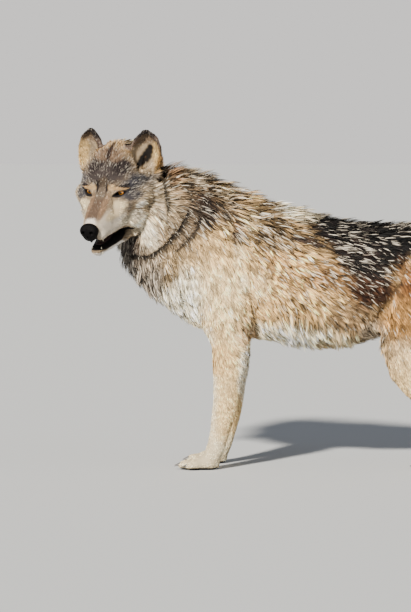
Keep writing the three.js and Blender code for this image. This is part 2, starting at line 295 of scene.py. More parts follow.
class HeadForm:
    """The bare head in its own frame: cranium, muzzle, jaw, brows, lids, lips and ears."""

    FACE = Tube(
        (
            (-34, 40, -6, -96, 0.42), (-14, 60, 12, -104, 0.44), (6, 76, 34, -110, 0.46),
            (30, 88, 60, -122, 0.44), (62, 97, 88, -136, 0.42), (102, 100, 93, -132, 0.42),
            (138, 86, 72, -112, 0.44),
        ),
        domes=(12.0, 26.0),
    )
    MUZZLE = Tube(
        (
            (-118, 21, -44, -86, 0.4), (-104, 30, -30, -93, 0.38), (-78, 37, -18, -101, 0.36),
            (-46, 45, -6, -105, 0.34), (-18, 56, 6, -106, 0.34), (12, 60, 20, -106, 0.36),
        ),
        square=2.5,
        domes=(9.0, 10.0),
    )
    JAW = Tube(
        (
            (-107, 14, -120, -134, 0.7), (-90, 22, -122, -141, 0.7), (-50, 31, -124, -147, 0.7),
            (-8, 40, -122, -151, 0.65), (24, 48, -113, -150, 0.6), (64, 52, -100, -144, 0.6),
        ),
        domes=(9.0, 14.0),
    )
    MOUTH = (  # the gap between the lips: place, upper edge, lower edge
        (-126, -90, -116), (-108, -97, -120), (-70, -99, -123), (-30, -99, -125), (-10, -103, -123),
        (8, -108, -119), (20, -114, -116),
    )
    EAR = Tube(
        (
            (-36, 36, 22, -28, 0.5), (0, 46, 21, -28, 0.5), (32, 45, 24, -16, 0.5), (56, 36, 26, -3, 0.5),
            (68, 25, 27, 6, 0.5), (76, 13, 27, 13, 0.5),
        ),
        square=2.0, domes=(6.0, 5.0), soften=4,
    )
    EAR_HOLLOW = Tube(
        (
            (-26, 22, -6, -60, 0.5), (-4, 36, 8, -64, 0.5), (28, 39, 18, -52, 0.5), (52, 31, 21, -40, 0.5),
            (64, 20, 22, -28, 0.5), (72, 8, 22, -16, 0.5),
        ),
        square=2.0, domes=(8.0, 4.0), soften=4,
    )

    def distance(self, at: Axes) -> Array:
        """Returns the whole head's distance.

        Args:
            at: The places' x, y and z, in the head's frame.

        Returns:
            Millimetres at each place.
        """
        mirrored = (np.abs(at[0]), at[1], at[2])
        form = blend(self.FACE.distance(at), self.MUZZLE.distance(at), 16)
        form = self._bones(form, mirrored)
        form = self._eyes(form, mirrored)
        form = self._mouth(form, mirrored)
        return self._ears(form, mirrored)

    def _bones(self, form: Array, at: Axes) -> Array:
        """Adds the brows, cheeks and whisker pads, and the furrow and hollows between them.

        Args:
            form: The head's distance so far.
            at: The places, with x as on the left side.

        Returns:
            The head's distance with them.
        """
        added = (
            (Rod((20, -6, 22), (58, 6, 17), (9, 7)), 12),  # brow
            (Rod((56, -10, -30), (84, 40, -28), (15, 18)), 20),  # cheekbone
            (Ball((62, 44, -84), (26, 44, 36)), 20),  # jaw muscle
            (Ball((20, -98, -80), (13, 22, 13)), 8),  # whisker pad
            (Ball((66, 108, 44), (34, 30, 30)), 16),  # root of the ear
        )
        for shape, reach in added:
            form = blend(form, shape.distance(at), reach)
        taken = (
            (Rod((0, -26, 18), (0, 44, 92), (5, 7)), 16),  # forehead furrow
            (Rod((34, -26, -8), (44, -44, -36), (4, 5)), 14),  # hollow ahead of the eye
            (Rod((52, -64, -62), (66, -16, -74), (5, 6)), 14),  # side of the muzzle
        )
        for shape, reach in taken:
            form = carve(form, shape.distance(at), reach)
        return form

    def _eyes(self, form: Array, at: Axes) -> Array:
        """Wraps lids round each eyeball and opens them.

        Args:
            form: The head's distance so far.
            at: The places, with x as on the left side.

        Returns:
            The head's distance with them.
        """
        form = blend(form, Ball(EYE_CENTRE, (EYE_RADIUS + 3.2,) * 3).distance(at), 7)
        form = blend(form, Rod((32, -5, 11), (60, 4, 12), (4.0, 3.0)).distance(at), 5)
        form = carve(form, Ball(EYE_CENTRE, (EYE_RADIUS + 0.3,) * 3).distance(at), 0.6)
        across, rise = EyeOpening.axes(at[0], at[2])
        upper = np.sqrt(across**2 + (rise + 12.5) ** 2) - 18.6
        lower = np.sqrt(across**2 + (rise - 15.5) ** 2) - 20.8
        opening = np.maximum(np.maximum(upper, lower), at[1] - EYE_CENTRE[1])
        return carve(form, opening, 1.6)

    def _mouth(self, form: Array, at: Axes) -> Array:
        """Opens the mouth, hollows the palate and hangs the jaw.

        Args:
            form: The head's distance so far.
            at: The places, with x as on the left side.

        Returns:
            The head's distance with them.
        """
        rows = np.array(self.MOUTH)
        upper = np.interp(at[1], rows[:, 0], rows[:, 1]).astype(np.float32)
        below = at[2] - upper
        ahead = at[1] - rows[-1, 0]
        form = carve(form, np.maximum(below, ahead), 5)
        palate = Rod((0, -104, -94), (0, 8, -106), (10, 20)).distance(at)
        form = carve(form, palate, 4)
        jaw = self.JAW.distance(at)
        jaw = blend(jaw, Ball((0, -95, -134), (15, 14, 9)).distance(at), 6)
        jaw = carve(jaw, Rod((0, -92, -117), (0, 6, -108), (10, 19)).distance(at), 4)
        joined = blend(form, jaw, 2)
        cheek = np.maximum(Ball((44, 42, -118), (20, 30, 26)).distance(at), -ahead - 3)
        return blend(joined, cheek, 9)

    def _ears(self, form: Array, at: Axes) -> Array:
        """Stands the ears on the skull, cupped in front.

        Args:
            form: The head's distance so far.
            at: The places, with x as on the left side.

        Returns:
            The head's distance with them.
        """
        c, s = math.cos(math.radians(EAR_TURN)), math.sin(math.radians(EAR_TURN))
        x, y = at[0] - EAR_ROOT[0], at[1] - EAR_ROOT[1]
        across, along, up = x * c + y * s, y * c - x * s, at[2] - EAR_ROOT[2]
        lean = self.ear_lean(up).astype(np.float32)
        outside = self.EAR.distance((across - lean, up, along))
        hollow = self.EAR_HOLLOW.distance((across - lean, up, along))
        pit = Rod((8, 8, 14), (0, 4, -16), (7, 6)).distance((across, along, up))
        ear = carve(outside, hollow, 2)
        return carve(blend(form, ear, 7), np.minimum(np.maximum(hollow, -up - 16), pit), 3)

    @staticmethod
    def ear_lean(up: Array) -> Array:
        """Returns how far an ear's middle leans out at a height above its root."""
        return np.interp(up, (-36, 0, 32, 58, 76), (0, 3, 9, 14, 17))

    @classmethod
    def ear_inside(cls, local: Array) -> Array:
        """Tells an ear's cupped face from its back.

        Args:
            local: Places in the ear's frame.

        Returns:
            1 on the cupped face and 0 on the back.
        """
        x, y, z = local.T
        pit = smoothstep(18, 13, y) * smoothstep(16, 6, z) * smoothstep(34, 26, np.abs(x))
        return np.maximum(smoothstep(3.4, 1.2, cls.EAR_HOLLOW.distance((x - cls.ear_lean(z), z, y))), pit)


# ---- How the coat lies ----
@dataclass(frozen=True)
class Lie:
    """The coat round one place: where it points, its length, lift, depth over the skin, and spacing."""

    place: Triple
    flow: Triple
    length: float
    lift: float
    depth: float
    spacing: float


BODY_LIES = (
    Lie((0, -290, 830), (0.0, 1.0, -0.1), 52, 26, 26, 3.0),  # nape
    Lie((0, -180, 830), (0.0, 1.0, -0.35), 66, 30, 30, 3.1),
    Lie((110, -240, 780), (0.1, 0.9, -0.5), 54, 24, 24, 3.0),  # side of the neck
    Lie((125, -190, 690), (0.0, 0.7, -0.8), 52, 22, 24, 3.0),
    Lie((125, -300, 640), (0.0, 0.5, -1.0), 50, 24, 26, 3.0),
    Lie((40, -380, 610), (0.0, 0.3, -1.0), 46, 26, 24, 3.0),  # throat
    Lie((60, -270, 520), (0.1, 0.3, -1.0), 46, 24, 24, 3.0),
    Lie((0, -210, 470), (0.0, 0.3, -1.0), 42, 22, 22, 3.0),  # breast
    Lie((50, -180, 420), (0.1, 0.5, -0.9), 34, 20, 16, 2.9),
    Lie((0, -110, 352), (0.0, 1.0, -0.4), 30, 18, 14, 3.0),
    Lie((0, -60, 750), (0.0, 1.0, -0.25), 66, 25, 28, 3.1),  # withers
    Lie((95, -70, 690), (0.0, 0.8, -0.8), 50, 20, 20, 3.0),
    Lie((128, -90, 600), (0.0, 0.45, -1.0), 26, 13, 9, 2.7),  # shoulder
    Lie((130, -90, 480), (0.0, 0.35, -1.0), 22, 11, 8, 2.6),
    Lie((120, 20, 500), (0.0, 0.6, -0.9), 28, 14, 11, 2.8),
    Lie((130, 50, 620), (0.0, 0.75, -0.8), 48, 17, 18, 3.0),
    Lie((100, 30, 400), (0.0, 0.5, -0.9), 34, 18, 15, 3.0),  # elbow
    Lie((0, 60, 744), (0.0, 1.0, -0.18), 66, 20, 26, 3.2),  # back
    Lie((0, 200, 690), (0.0, 1.0, -0.12), 60, 17, 22, 3.2),
    Lie((0, 340, 671), (0.0, 1.0, -0.06), 54, 15, 19, 3.2),
    Lie((0, 480, 664), (0.0, 1.0, -0.2), 50, 17, 18, 3.2),  # croup
    Lie((110, 180, 640), (0.0, 0.95, -0.5), 46, 16, 17, 3.1),  # side
    Lie((115, 330, 600), (0.0, 0.95, -0.5), 44, 15, 15, 3.1),
    Lie((138, 140, 500), (0.0, 0.85, -0.75), 38, 15, 14, 3.0),
    Lie((130, 260, 480), (0.0, 0.85, -0.7), 38, 15, 13, 3.0),
    Lie((125, 130, 390), (0.0, 0.35, -1.0), 54, 13, 16, 3.0),
    Lie((80, 120, 325), (0.0, 0.2, -1.0), 50, 14, 20, 3.0),  # belly
    Lie((0, 180, 311), (0.0, 0.9, -0.7), 38, 22, 20, 3.2),
    Lie((80, 270, 335), (0.0, 0.35, -1.0), 46, 15, 18, 3.0),
    Lie((0, 330, 335), (0.0, 0.9, -0.6), 34, 20, 18, 3.2),
    Lie((90, 390, 400), (0.0, 0.6, -0.9), 34, 16, 13, 3.0),  # groin
    Lie((118, 440, 560), (0.0, 0.75, -0.8), 30, 13, 10, 2.8),  # thigh
    Lie((125, 470, 470), (0.0, 0.55, -1.0), 24, 12, 8, 2.7),
    Lie((125, 420, 370), (0.0, 0.5, -1.0), 20, 11, 7, 2.6),
    Lie((70, 600, 520), (0.1, 0.5, -1.0), 38, 20, 15, 3.0),  # buttock
    Lie((60, 540, 400), (0.0, 0.5, -1.0), 30, 16, 10, 2.9),
    Lie((90, 470, 280), (0.0, 0.45, -1.0), 16, 10, 5, 2.4),  # hind leg
    Lie((85, 540, 160), (0.0, 0.2, -1.0), 12, 8, 3.5, 2.2),
    Lie((84, 560, 70), (0.0, 0.0, -1.0), 10, 8, 3, 2.1),
    Lie((84, 490, 24), (0.0, -1.0, -0.5), 8, 8, 2.5, 2.0),
    Lie((90, -90, 330), (0.0, 0.3, -1.0), 18, 10, 6, 2.4),  # foreleg
    Lie((85, 0, 320), (0.0, 0.8, -0.8), 24, 20, 8, 2.5),
    Lie((80, -70, 220), (0.0, 0.2, -1.0), 12, 8, 4, 2.2),
    Lie((76, -30, 180), (0.0, 0.6, -0.9), 14, 14, 4, 2.2),
    Lie((74, -80, 110), (0.0, 0.1, -1.0), 10, 8, 3, 2.1),
    Lie((74, -130, 24), (0.0, -1.0, -0.5), 8, 8, 2.5, 2.0),
    Lie((0, 610, 640), (0.0, 0.9, -0.6), 46, 20, 14, 3.0),  # tail
    Lie((0, 690, 500), (0.0, 0.35, -1.0), 54, 17, 18, 3.0),
    Lie((0, 640, 430), (0.0, -0.1, -1.0), 50, 17, 18, 3.0),
    Lie((0, 700, 340), (0.0, 0.1, -1.0), 54, 17, 19, 3.0),
    Lie((0, 672, 240), (0.0, 0.0, -1.0), 40, 14, 14, 3.0),
)

HEAD_LIES = (
    Lie((0, -112, -34), (0.0, 1.0, 0.35), 6, 9, 2, 1.5),  # bridge
    Lie((0, -70, -12), (0.0, 1.0, 0.25), 8, 9, 3, 1.5),
    Lie((0, -30, 4), (0.0, 0.9, 0.5), 9, 10, 3, 1.6),
    Lie((16, -12, 18), (0.2, 0.85, 0.5), 9, 11, 4, 1.5),
    Lie((0, 6, 38), (0.0, 0.8, 0.6), 11, 11, 5, 1.7),  # forehead
    Lie((0, 44, 82), (0.0, 0.9, 0.45), 13, 12, 7, 1.8),
    Lie((0, 92, 97), (0.0, 1.0, 0.0), 20, 17, 9, 2.1),  # crown
    Lie((52, 62, 82), (0.1, 1.0, 0.1), 14, 11, 8, 1.9),
    Lie((44, 84, 84), (0.0, 1.0, 0.1), 12, 10, 8, 1.9),
    Lie((30, -104, -62), (0.2, 1.0, -0.05), 5, 8, 2, 1.4),  # side of the muzzle
    Lie((40, -70, -64), (0.15, 1.0, -0.2), 7, 8, 3, 1.5),
    Lie((36, -80, -96), (0.1, 0.9, -0.5), 6, 9, 2, 1.4),
    Lie((54, -28, -60), (0.4, 0.9, -0.25), 10, 9, 4, 1.6),
    Lie((56, 4, -92), (0.3, 0.9, -0.5), 15, 12, 5, 1.7),
    Lie((48, -10, -22), (0.55, 0.8, -0.3), 8, 8, 3, 1.5),  # below the eye
    Lie((44, -6, 22), (0.5, 0.7, 0.5), 9, 12, 4, 1.4),  # above the eye
    Lie((68, 6, 14), (0.5, 0.85, 0.1), 11, 10, 5, 1.6),
    Lie((80, 24, 12), (0.3, 0.95, -0.1), 15, 11, 7, 1.8),  # temple
    Lie((86, 70, 30), (0.15, 1.0, -0.2), 18, 12, 9, 1.9),
    Lie((86, 30, -46), (0.35, 0.85, -0.45), 24, 14, 9, 1.9),  # cheek
    Lie((94, 60, -92), (0.3, 0.7, -0.85), 40, 21, 18, 2.2),
    Lie((100, 74, -14), (0.3, 0.9, -0.35), 32, 15, 15, 2.2),
    Lie((96, 112, 14), (0.15, 1.0, -0.4), 28, 14, 14, 2.3),
    Lie((90, 130, -60), (0.2, 0.8, -0.7), 46, 22, 22, 2.5),
    Lie((40, 44, -150), (0.2, 0.6, -0.9), 32, 20, 12, 2.4),  # throat
    Lie((0, 30, -150), (0.0, 0.8, -0.7), 24, 18, 10, 2.4),
    Lie((0, -50, -157), (0.0, 1.0, -0.2), 8, 9, 3, 1.8),  # jaw
    Lie((34, -50, -148), (0.2, 1.0, -0.3), 8, 9, 3, 1.7),
    Lie((46, 6, -140), (0.3, 0.9, -0.7), 16, 14, 6, 1.9),
    Lie((0, 138, 86), (0.0, 1.0, -0.3), 44, 22, 20, 2.6),  # nape
)

EAR_BACK_LIES = (
    Lie((0, 22, 0), (0.0, -0.2, 1.0), 12, 11, 3, 1.8),
    Lie((10, 24, 40), (0.0, 0.0, 1.0), 9, 9, 3, 1.7),
    Lie((17, 26, 74), (0.0, 0.1, 1.0), 7, 12, 2, 1.5),
)

EAR_INSIDE_LIES = (
    Lie((-34, -8, 10), (0.7, -0.5, 0.8), 15, 16, 3, 1.6),  # hair that crosses the cup from its front edge
    Lie((-26, 0, 40), (0.6, -0.5, 0.9), 12, 14, 3, 1.6),
    Lie((46, -6, 10), (-0.2, -0.5, 1.0), 12, 14, 3, 1.6),
    Lie((40, 6, 44), (-0.1, -0.4, 1.0), 9, 12, 3, 1.6),
    Lie((14, 16, 66), (0.0, -0.4, 1.0), 7, 12, 2, 1.5),
    Lie((20, -26, -22), (0.1, -0.6, 0.9), 16, 20, 4, 1.6),
    Lie((6, 6, 10), (0.0, -0.6, 0.9), 6, 10, 3, 1.9),
)


class Lies:
    """Blends the lies of a region smoothly over the places between them."""

    BATCH = 100000  # places answered at once, to spare memory

    def __init__(self, lies: tuple[Lie, ...], reach: float) -> None:
        """Keeps the lies as arrays.

        Args:
            lies: The region's lies, for its left side.
            reach: Millimetres over which neighbouring lies always mix.
        """
        self.places = np.array([lie.place for lie in lies])
        self.values = np.array([
            [*unit(np.array(lie.flow)), lie.length, lie.lift, lie.depth, lie.spacing] for lie in lies
        ])
        self.reach = reach

    def at(self, points: Array) -> Array:
        """Returns flow (3 columns), length, lift, depth and spacing at each place.

        Args:
            points: Places. Those at negative x take the mirrored lie.

        Returns:
            Seven columns, one row a place.
        """
        found = np.empty((len(points), 7))
        mirrored = on_left(points)
        for start in range(0, len(points), self.BATCH):
            part = slice(start, start + self.BATCH)
            gap = mirrored[part, None, :] - self.places[None]
            weight = 1 / ((gap**2).sum(2) + self.reach**2) ** 3
            found[part] = weight @ self.values / weight.sum(1, keepdims=True)
        found[:, 0] *= np.where(points[:, 0] < 0, -1, 1)
        return found


class Coat:
    """Answers what the whole coat does at any place of the skin."""

    HEAD_FADE = (84.0, 136.0)  # behind the eyes, where the head's lies give way to the neck's

    def __init__(self) -> None:
        """Prepares the body, the head and the two faces of an ear."""
        self.body = Lies(BODY_LIES, 26)
        self.head = Lies(HEAD_LIES, 11)
        self.ear_back = Lies(EAR_BACK_LIES, 8)
        self.ear_inside = Lies(EAR_INSIDE_LIES, 8)

    def neck_share(self, head_points: Array) -> Array:
        """Returns 0 on the head and 1 behind it, for places in the head's frame."""
        slanted = head_points[:, 1] * 0.9 - head_points[:, 2] * 0.43
        return smoothstep(*self.HEAD_FADE, slanted)

    def ear_share(self, head_points: Array) -> tuple[Array, Array]:
        """Tells the ears from the rest of the head.

        Args:
            head_points: Places in the head's frame.

        Returns:
            1 on the ears and 0 off them, and each place in its nearest ear's frame.
        """
        side = np.where(head_points[:, 0] < 0, -1, 1)
        local = np.where(side[:, None] > 0, Space.to_ear(head_points, 1), Space.to_ear(head_points, -1))
        across = local[:, 0] - HeadForm.ear_lean(local[:, 2])
        off_axis = np.hypot(across / 52, (local[:, 1] - 4) / 42)
        foot = np.where(local[:, 1] < 17, -30.0 + 0.55 * np.maximum(-across, 0), 4.0)
        return smoothstep(0, 8, local[:, 2] - foot) * smoothstep(1.2, 1.0, off_axis), local

    def at(self, points: Array, normals: Array) -> Array:
        """Returns flow along the skin, length, lift, depth and spacing.

        Args:
            points: Places in the animal's frame.
            normals: The skin's outward direction at each.

        Returns:
            Seven columns, one row a place, the flow tangent to the skin.
        """
        head_points = Space.to_head(points)
        away = self.neck_share(head_points)[:, None]
        ear, ear_points = self.ear_share(head_points)
        inside = HeadForm.ear_inside(ear_points)[:, None]
        on_ear = self.ear_back.at(ear_points) * (1 - inside) + self.ear_inside.at(ear_points) * inside
        side = np.where(head_points[:, 0] < 0, -1, 1)
        flow = on_ear[:, :3] * np.stack([side, np.ones_like(side), np.ones_like(side)], 1)
        turned = np.where(side[:, None] > 0, flow @ turn(2, EAR_TURN).T, flow @ turn(2, -EAR_TURN).T)
        on_ear[:, :3] = turned
        on_head = self.head.at(head_points)
        on_head += (on_ear - on_head) * ear[:, None]
        on_head[:, :3] = on_head[:, :3] @ HEAD_AXES.T
        found = self.body.at(points) * away + on_head * (1 - away)
        flow = found[:, :3]
        found[:, :3] = unit(flow - normals * (flow * normals).sum(1, keepdims=True))
        return found


# ---- Markings ----
@dataclass(frozen=True)
class Daub:
    """A soft-edged patch of colour, with how dark its tips are and how many dark and pale hairs it has."""

    centre: Triple
    radii: Triple
    colour: str
    tip: float = 0.0
    tick: float = 0.1
    pitch: float = 0.0
    soft: float = 0.35

    def share(self, points: Array, ragged: Array) -> Array:
        """Returns how much of the patch covers each place, 0 to 1, with noise breaking its edge."""
        local = (points - np.array(self.centre)) @ turn(0, self.pitch) / np.array(self.radii)
        return smoothstep(1 + self.soft, 1 - self.soft, np.linalg.norm(local, axis=1) + ragged)


BARE_AND_SHADE_BLACK, TIP_BLACK, HAIR_WHITE = "181314", "1c1615", "e6dccb"  # bare black skin and the mouth's painted shade, dark tips, stray pale hairs
WIDE = 400.0  # reaches right across the body
BODY_DAUBS = (
    Daub((0, 100, 500), (WIDE, 900, 900), "b4986e", 0.2, 0.2),
    Daub((0, -60, 600), (WIDE, 120, 150), "c4a87c", 0.15, 0.12),  # shoulder
    Daub((0, -90, 470), (WIDE, 110, 90), "dec69c", 0.0, 0.06),
    Daub((0, -190, 450), (WIDE, 80, 110), "f8eed6", 0.0, 0.05),  # breast
    Daub((0, -215, 548), (WIDE, 50, 50), "9a8460", 0.1, 0.3),
    Daub((40, -330, 560), (150, 104, 100), "7e7874", 0.5, 0.7),  # throat
    Daub((60, -262, 500), (120, 40, 56), "a49a8e", 0.3, 0.5),
    Daub((0, -200, 760), (WIDE, 130, 90), "988368", 0.9, 0.6),  # mane
    Daub((0, -100, 720), (WIDE, 110, 70), "9a8468", 0.9, 0.6),
    Daub((0, -156, 668), (WIDE, 38, 82), "60503e", 0.8, 0.6, -14),
    Daub((0, -110, 690), (WIDE, 38, 54), "3a2c22", 0.9, 0.5, -14),
    Daub((0, -124, 782), (WIDE, 44, 26), "d8c6ac", 0.6, 0.7, -20),
    Daub((0, -82, 748), (WIDE, 18, 22), "6e5c48", 0.9, 0.6, -20),
    Daub((0, -52, 736), (WIDE, 34, 18), "c4b090", 1.0, 0.9, -20),
    Daub((0, -20, 634), (WIDE, 18, 44), "846c52", 1.0, 0.9),  # streak behind the shoulder blade
    Daub((0, -18, 582), (WIDE, 16, 34), "d8c098", 0.2, 0.2),
    Daub((0, 82, 630), (WIDE, 66, 88), "9a8260", 0.9, 0.7, 8),
    Daub((0, 62, 562), (WIDE, 30, 26), "caa674", 0.5, 0.5),
    Daub((0, 12, 664), (WIDE, 24, 30), "b8a27e", 0.6, 0.4),
    Daub((0, 130, 526), (WIDE, 66, 56), "d6b07c", 0.4, 0.35),  # ribs
    Daub((0, 246, 500), (WIDE, 100, 60), "94744e", 0.7, 0.6),
    Daub((0, 34, 490), (WIDE, 40, 56), "e0c498", 0.1, 0.12),
    Daub((0, -6, 505), (WIDE, 14, 24), "f2deb8", 0.0, 0.05),
    Daub((0, 150, 446), (WIDE, 150, 50), "c8a878", 0.3, 0.25),
    Daub((0, 110, 352), (WIDE, 150, 48), "fff0d0", 0.0, 0.03),  # belly
    Daub((0, 250, 340), (WIDE, 70, 36), "dcc8a4", 0.05, 0.06),
    Daub((0, 290, 410), (WIDE, 70, 42), "a68c6a", 0.3, 0.2),  # groin
    Daub((0, 350, 372), (WIDE, 44, 36), "c0b09a", 0.2, 0.15),
    Daub((0, 334, 490), (WIDE, 62, 60), "4a3222", 0.5, 0.2),
    Daub((0, 280, 656), (WIDE, 142, 78), "141012", 0.6, 0.45, -6),  # black saddle
    Daub((0, 310, 574), (WIDE, 90, 56), "241a16", 0.7, 0.75, -24),
    Daub((0, 160, 612), (WIDE, 46, 10), "3a2e26", 0.6, 0.5, -18),
    Daub((0, 408, 624), (WIDE, 66, 78), "0e0b0c", 0.6, 0.26, -20),
    Daub((0, 520, 670), (95, 150, 44), "2a2420", 0.6, 0.6),
    Daub((0, 128, 694), (WIDE, 62, 30), "e8dabc", 0.3, 0.35, -20),  # pale patch behind the withers
    Daub((0, 62, 716), (WIDE, 22, 22), "887660", 0.8, 0.6, -20),
    Daub((0, 490, 484), (WIDE, 92, 92), "765230", 0.1, 0.12),  # thigh
    Daub((0, 460, 395), (WIDE, 110, 70), "967448", 0.1, 0.12),
    Daub((0, 440, 300), (WIDE, 110, 60), "bca482", 0.05, 0.1),
    Daub((0, 610, 480), (120, 60, 120), "c8b898", 0.1, 0.2),  # buttock
    Daub((0, -60, 210), (WIDE, 120, 180), "d8be92", 0.0, 0.03),  # foreleg
    Daub((0, -110, 210), (WIDE, 36, 190), "eee0c4", 0.0, 0.02),
    Daub((0, -70, 300), (WIDE, 44, 44), "cfb284", 0.0, 0.04),
    Daub((0, 4, 362), (WIDE, 30, 30), "cdb08a", 0.1, 0.1),  # elbow
    Daub((0, -2, 250), (WIDE, 20, 80), "e8dcc4", 0.1, 0.1),
    Daub((0, 500, 180), (WIDE, 140, 150), "ceb68c", 0.0, 0.02),  # hind leg
    Daub((0, -100, 30), (WIDE, 120, 60), "e0d2b4", 0.0, 0.03),
    Daub((0, 520, 30), (WIDE, 120, 60), "dccfb2", 0.0, 0.03),
    Daub((0, 670, 440), (90, 90, 260), "8c7654", 0.6, 0.5),  # tail
    Daub((0, 700, 540), (60, 40, 60), "2e2622", 0.6, 0.5),
    Daub((0, 680, 215), (90, 90, 52), "1a1514", 0.5, 0.2),
    Daub((0, -188, 776), (WIDE, 13, 46), "94765a", 0.2, 0.2, 8),  # behind the ear
)

HEAD_DAUBS = (
    Daub((0, 0, -20), (WIDE, 900, 900), "9c8a72", 0.25, 0.3),
    Daub((0, 84, 100), (62, 60, 34), "a88e6c", 0.4, 0.35),  # crown
    Daub((0, 14, 54), (88, 44, 46), "4a4240", 0.5, 0.45),  # forehead
    Daub((42, 28, 58), (24, 26, 18), "342c2c", 0.5, 0.4),
    Daub((14, 50, 86), (34, 24, 20), "7c6856", 0.4, 0.4),
    Daub((0, -8, 22), (15, 20, 22), "54483c", 0.4, 0.3),
    Daub((114, 56, -12), (40, 50, 34), "8a8480", 0.3, 0.6),  # temple
    Daub((82, 26, 4), (50, 62, 30), "535156", 0.5, 0.8),
    Daub((0, 46, 88), (8, 52, 30), "3a2c26", 0.4, 0.3),  # streak up the forehead
    Daub((112, 60, -60), (60, 60, 64), "b4a286", 0.3, 0.5),  # ruff
    Daub((92, -4, -126), (42, 46, 56), "faecd2", 0.15, 0.3),
    Daub((76, 2, -66), (20, 22, 14), "c8bca8", 0.2, 0.7),
    Daub((132, 34, -74), (26, 40, 30), "b0a088", 0.3, 0.5),
    Daub((92, 14, -42), (16, 18, 10), "e0d4c0", 0.1, 0.3),  # cheek
    Daub((67, -16, -33), (17, 14, 10), "86796a", 0.3, 0.7),  # below the eye
    Daub((78, 8, -14), (24, 22, 9), "4e4a4c", 0.3, 0.6),
    Daub((48, -24, -27), (20, 22, 11), "dccbaa", 0.0, 0.12),
    Daub((42, -76, -64), (32, 66, 36), "e8dcca", 0.0, 0.2),  # side of the muzzle
    Daub((44, -56, -42), (18, 40, 13), "d8c6a6", 0.0, 0.12),
    Daub((62, -22, -76), (20, 24, 14), "b8ae9a", 0.1, 0.3),
    Daub((0, -74, -13), (32, 56, 16), "6c5a4c", 0.15, 0.25, 24),  # bridge
    Daub((22, -66, -16), (9, 44, 9), "8e7660", 0.1, 0.15, 24),
    Daub((0, -28, 6), (16, 26, 14), "74675a", 0.2, 0.4),
    Daub((0, -120, -36), (26, 14, 14), "f0e6da", 0.0, 0.1),
    Daub((14, -12, 14), (3.5, 16, 15), "2c2220", 0.2, 0.2),  # dark line inside the brow spot
    Daub((26, -10, 16), (9.5, 11, 9), "d2b48a", 0.0, 0.08),  # pale spot over the eye
    Daub((40, -5, 12), (14, 12, 5), "caa97c", 0.0, 0.08),
    Daub((56, -1, 8), (13, 12, 3.6), "bc9c72", 0.0, 0.08),
    Daub((60, 0, 17), (20, 14, 4.5), "322b2b", 0.2, 0.3),
    Daub((0, -50, -158), (60, 90, 30), "2c2422", 0.3, 0.3),  # jaw, darkened as painted shade on its lower side
    # painted shadow under the angle of the jaw
    Daub((34, -6, -172), (32, 46, 26), "2a2220", 0.3, 0.2),
    Daub((0, -104, -136), (26, 22, 8), "eee6dc", 0.0, 0.0),  # chin
    Daub((30, -62, -138), (20, 56, 9), "fff8ee", 0.0, 0.02),
    Daub((36, 60, -170), (50, 56, 30), "5a504a", 0.4, 0.5),  # throat
)

EAR_BACK_DAUBS = (
    Daub((10, 30, 30), (80, 60, 90), "74645a", 0.4, 0.4),
    Daub((6, 24, 4), (40, 30, 24), "94704c", 0.3, 0.3),
    Daub((40, -14, 0), (20, 16, 50), "b89868", 0.1, 0.1),  # buff front edge
    Daub((16, 24, 78), (40, 30, 22), "2a2322", 0.2, 0.2),
)

EAR_INSIDE_DAUBS = (
    Daub((6, 0, 20), (90, 60, 120), "b8a68c", 0.05, 0.15),
    Daub((40, 0, 20), (14, 40, 50), "c6ab7c", 0.0, 0.1),
    Daub((4, 10, 62), (50, 30, 18), "84725f", 0.1, 0.3),  # painted shade under the fold of the rim
    Daub((-34, 0, 36), (9, 30, 38), "4a3a30", 0.1, 0.2),
    Daub((16, 10, 84), (60, 30, 12), "3a302c", 0.1, 0.2),
)

EAR_CLEFT_SHADE_DAUBS = (  # painted shadow in the cleft down the cup, from near its tip to its root
    Daub((24, 16, 34), (9, 24, 9), "140d0c", 0.0, 0.0),
    Daub((19, 15, 24), (12, 24, 11), "140d0c", 0.0, 0.0),
    Daub((12, 14, 14), (15, 24, 13), "140d0c", 0.0, 0.0),
    Daub((4, 13, 6), (15, 24, 13), "140d0c", 0.0, 0.0),
    Daub((-4, 9, -1), (13, 24, 11), "140d0c", 0.0, 0.0),
    Daub((-12, 3, -6), (8, 24, 8), "140d0c", 0.0, 0.0),
    Daub((-17, -3, -11), (6, 24, 6), "140d0c", 0.0, 0.0),
)


@dataclass(frozen=True)
class Crease:
    """A fold in the coat, drawn from the side: tufts that cross it end there, those in it are short, and
    painted shade darkens the paint along it.
    """

    path: tuple[tuple[float, float], ...]  # y and z along the fold
    dark: float  # millimetres that its painted shade reaches on its narrow side
    strength: float = 0.8  # how dark its painted shade is
    both_sides: bool = False
    trims: bool = True  # whether tufts end at it

    def offset(self, points: Array) -> tuple[Array, Array]:
        """Returns the signed distance from the fold and how far a place lies beside it.

        Args:
            points: Places in the animal's frame.

        Returns:
            Millimetres to one side or the other, and 1 beside the fold fading to 0 past its ends.
        """
        flat = points[:, 1:]
        best, signed = np.full(len(points), 1e9), np.zeros(len(points))
        for start, end in zip(self.path[:-1], self.path[1:]):
            along = np.subtract(end, start)
            gap = flat - np.array(start)
            t = np.clip(gap @ along / (along @ along), 0, 1)
            off = gap - t[:, None] * along
            distance = np.linalg.norm(off, axis=1)
            nearer = distance < best
            best[nearer] = distance[nearer]
            signed[nearer] = (np.sign(gap @ [along[1], -along[0]]) * distance)[nearer]
        ends = np.min([np.linalg.norm(flat - end, axis=1) for end in (self.path[0], self.path[-1])], axis=0)
        beside = smoothstep(0, 14, ends - 0.7 * np.abs(signed))
        side = np.abs(points[:, 0]) if self.both_sides else points[:, 0]
        return signed, beside * (side > 25)
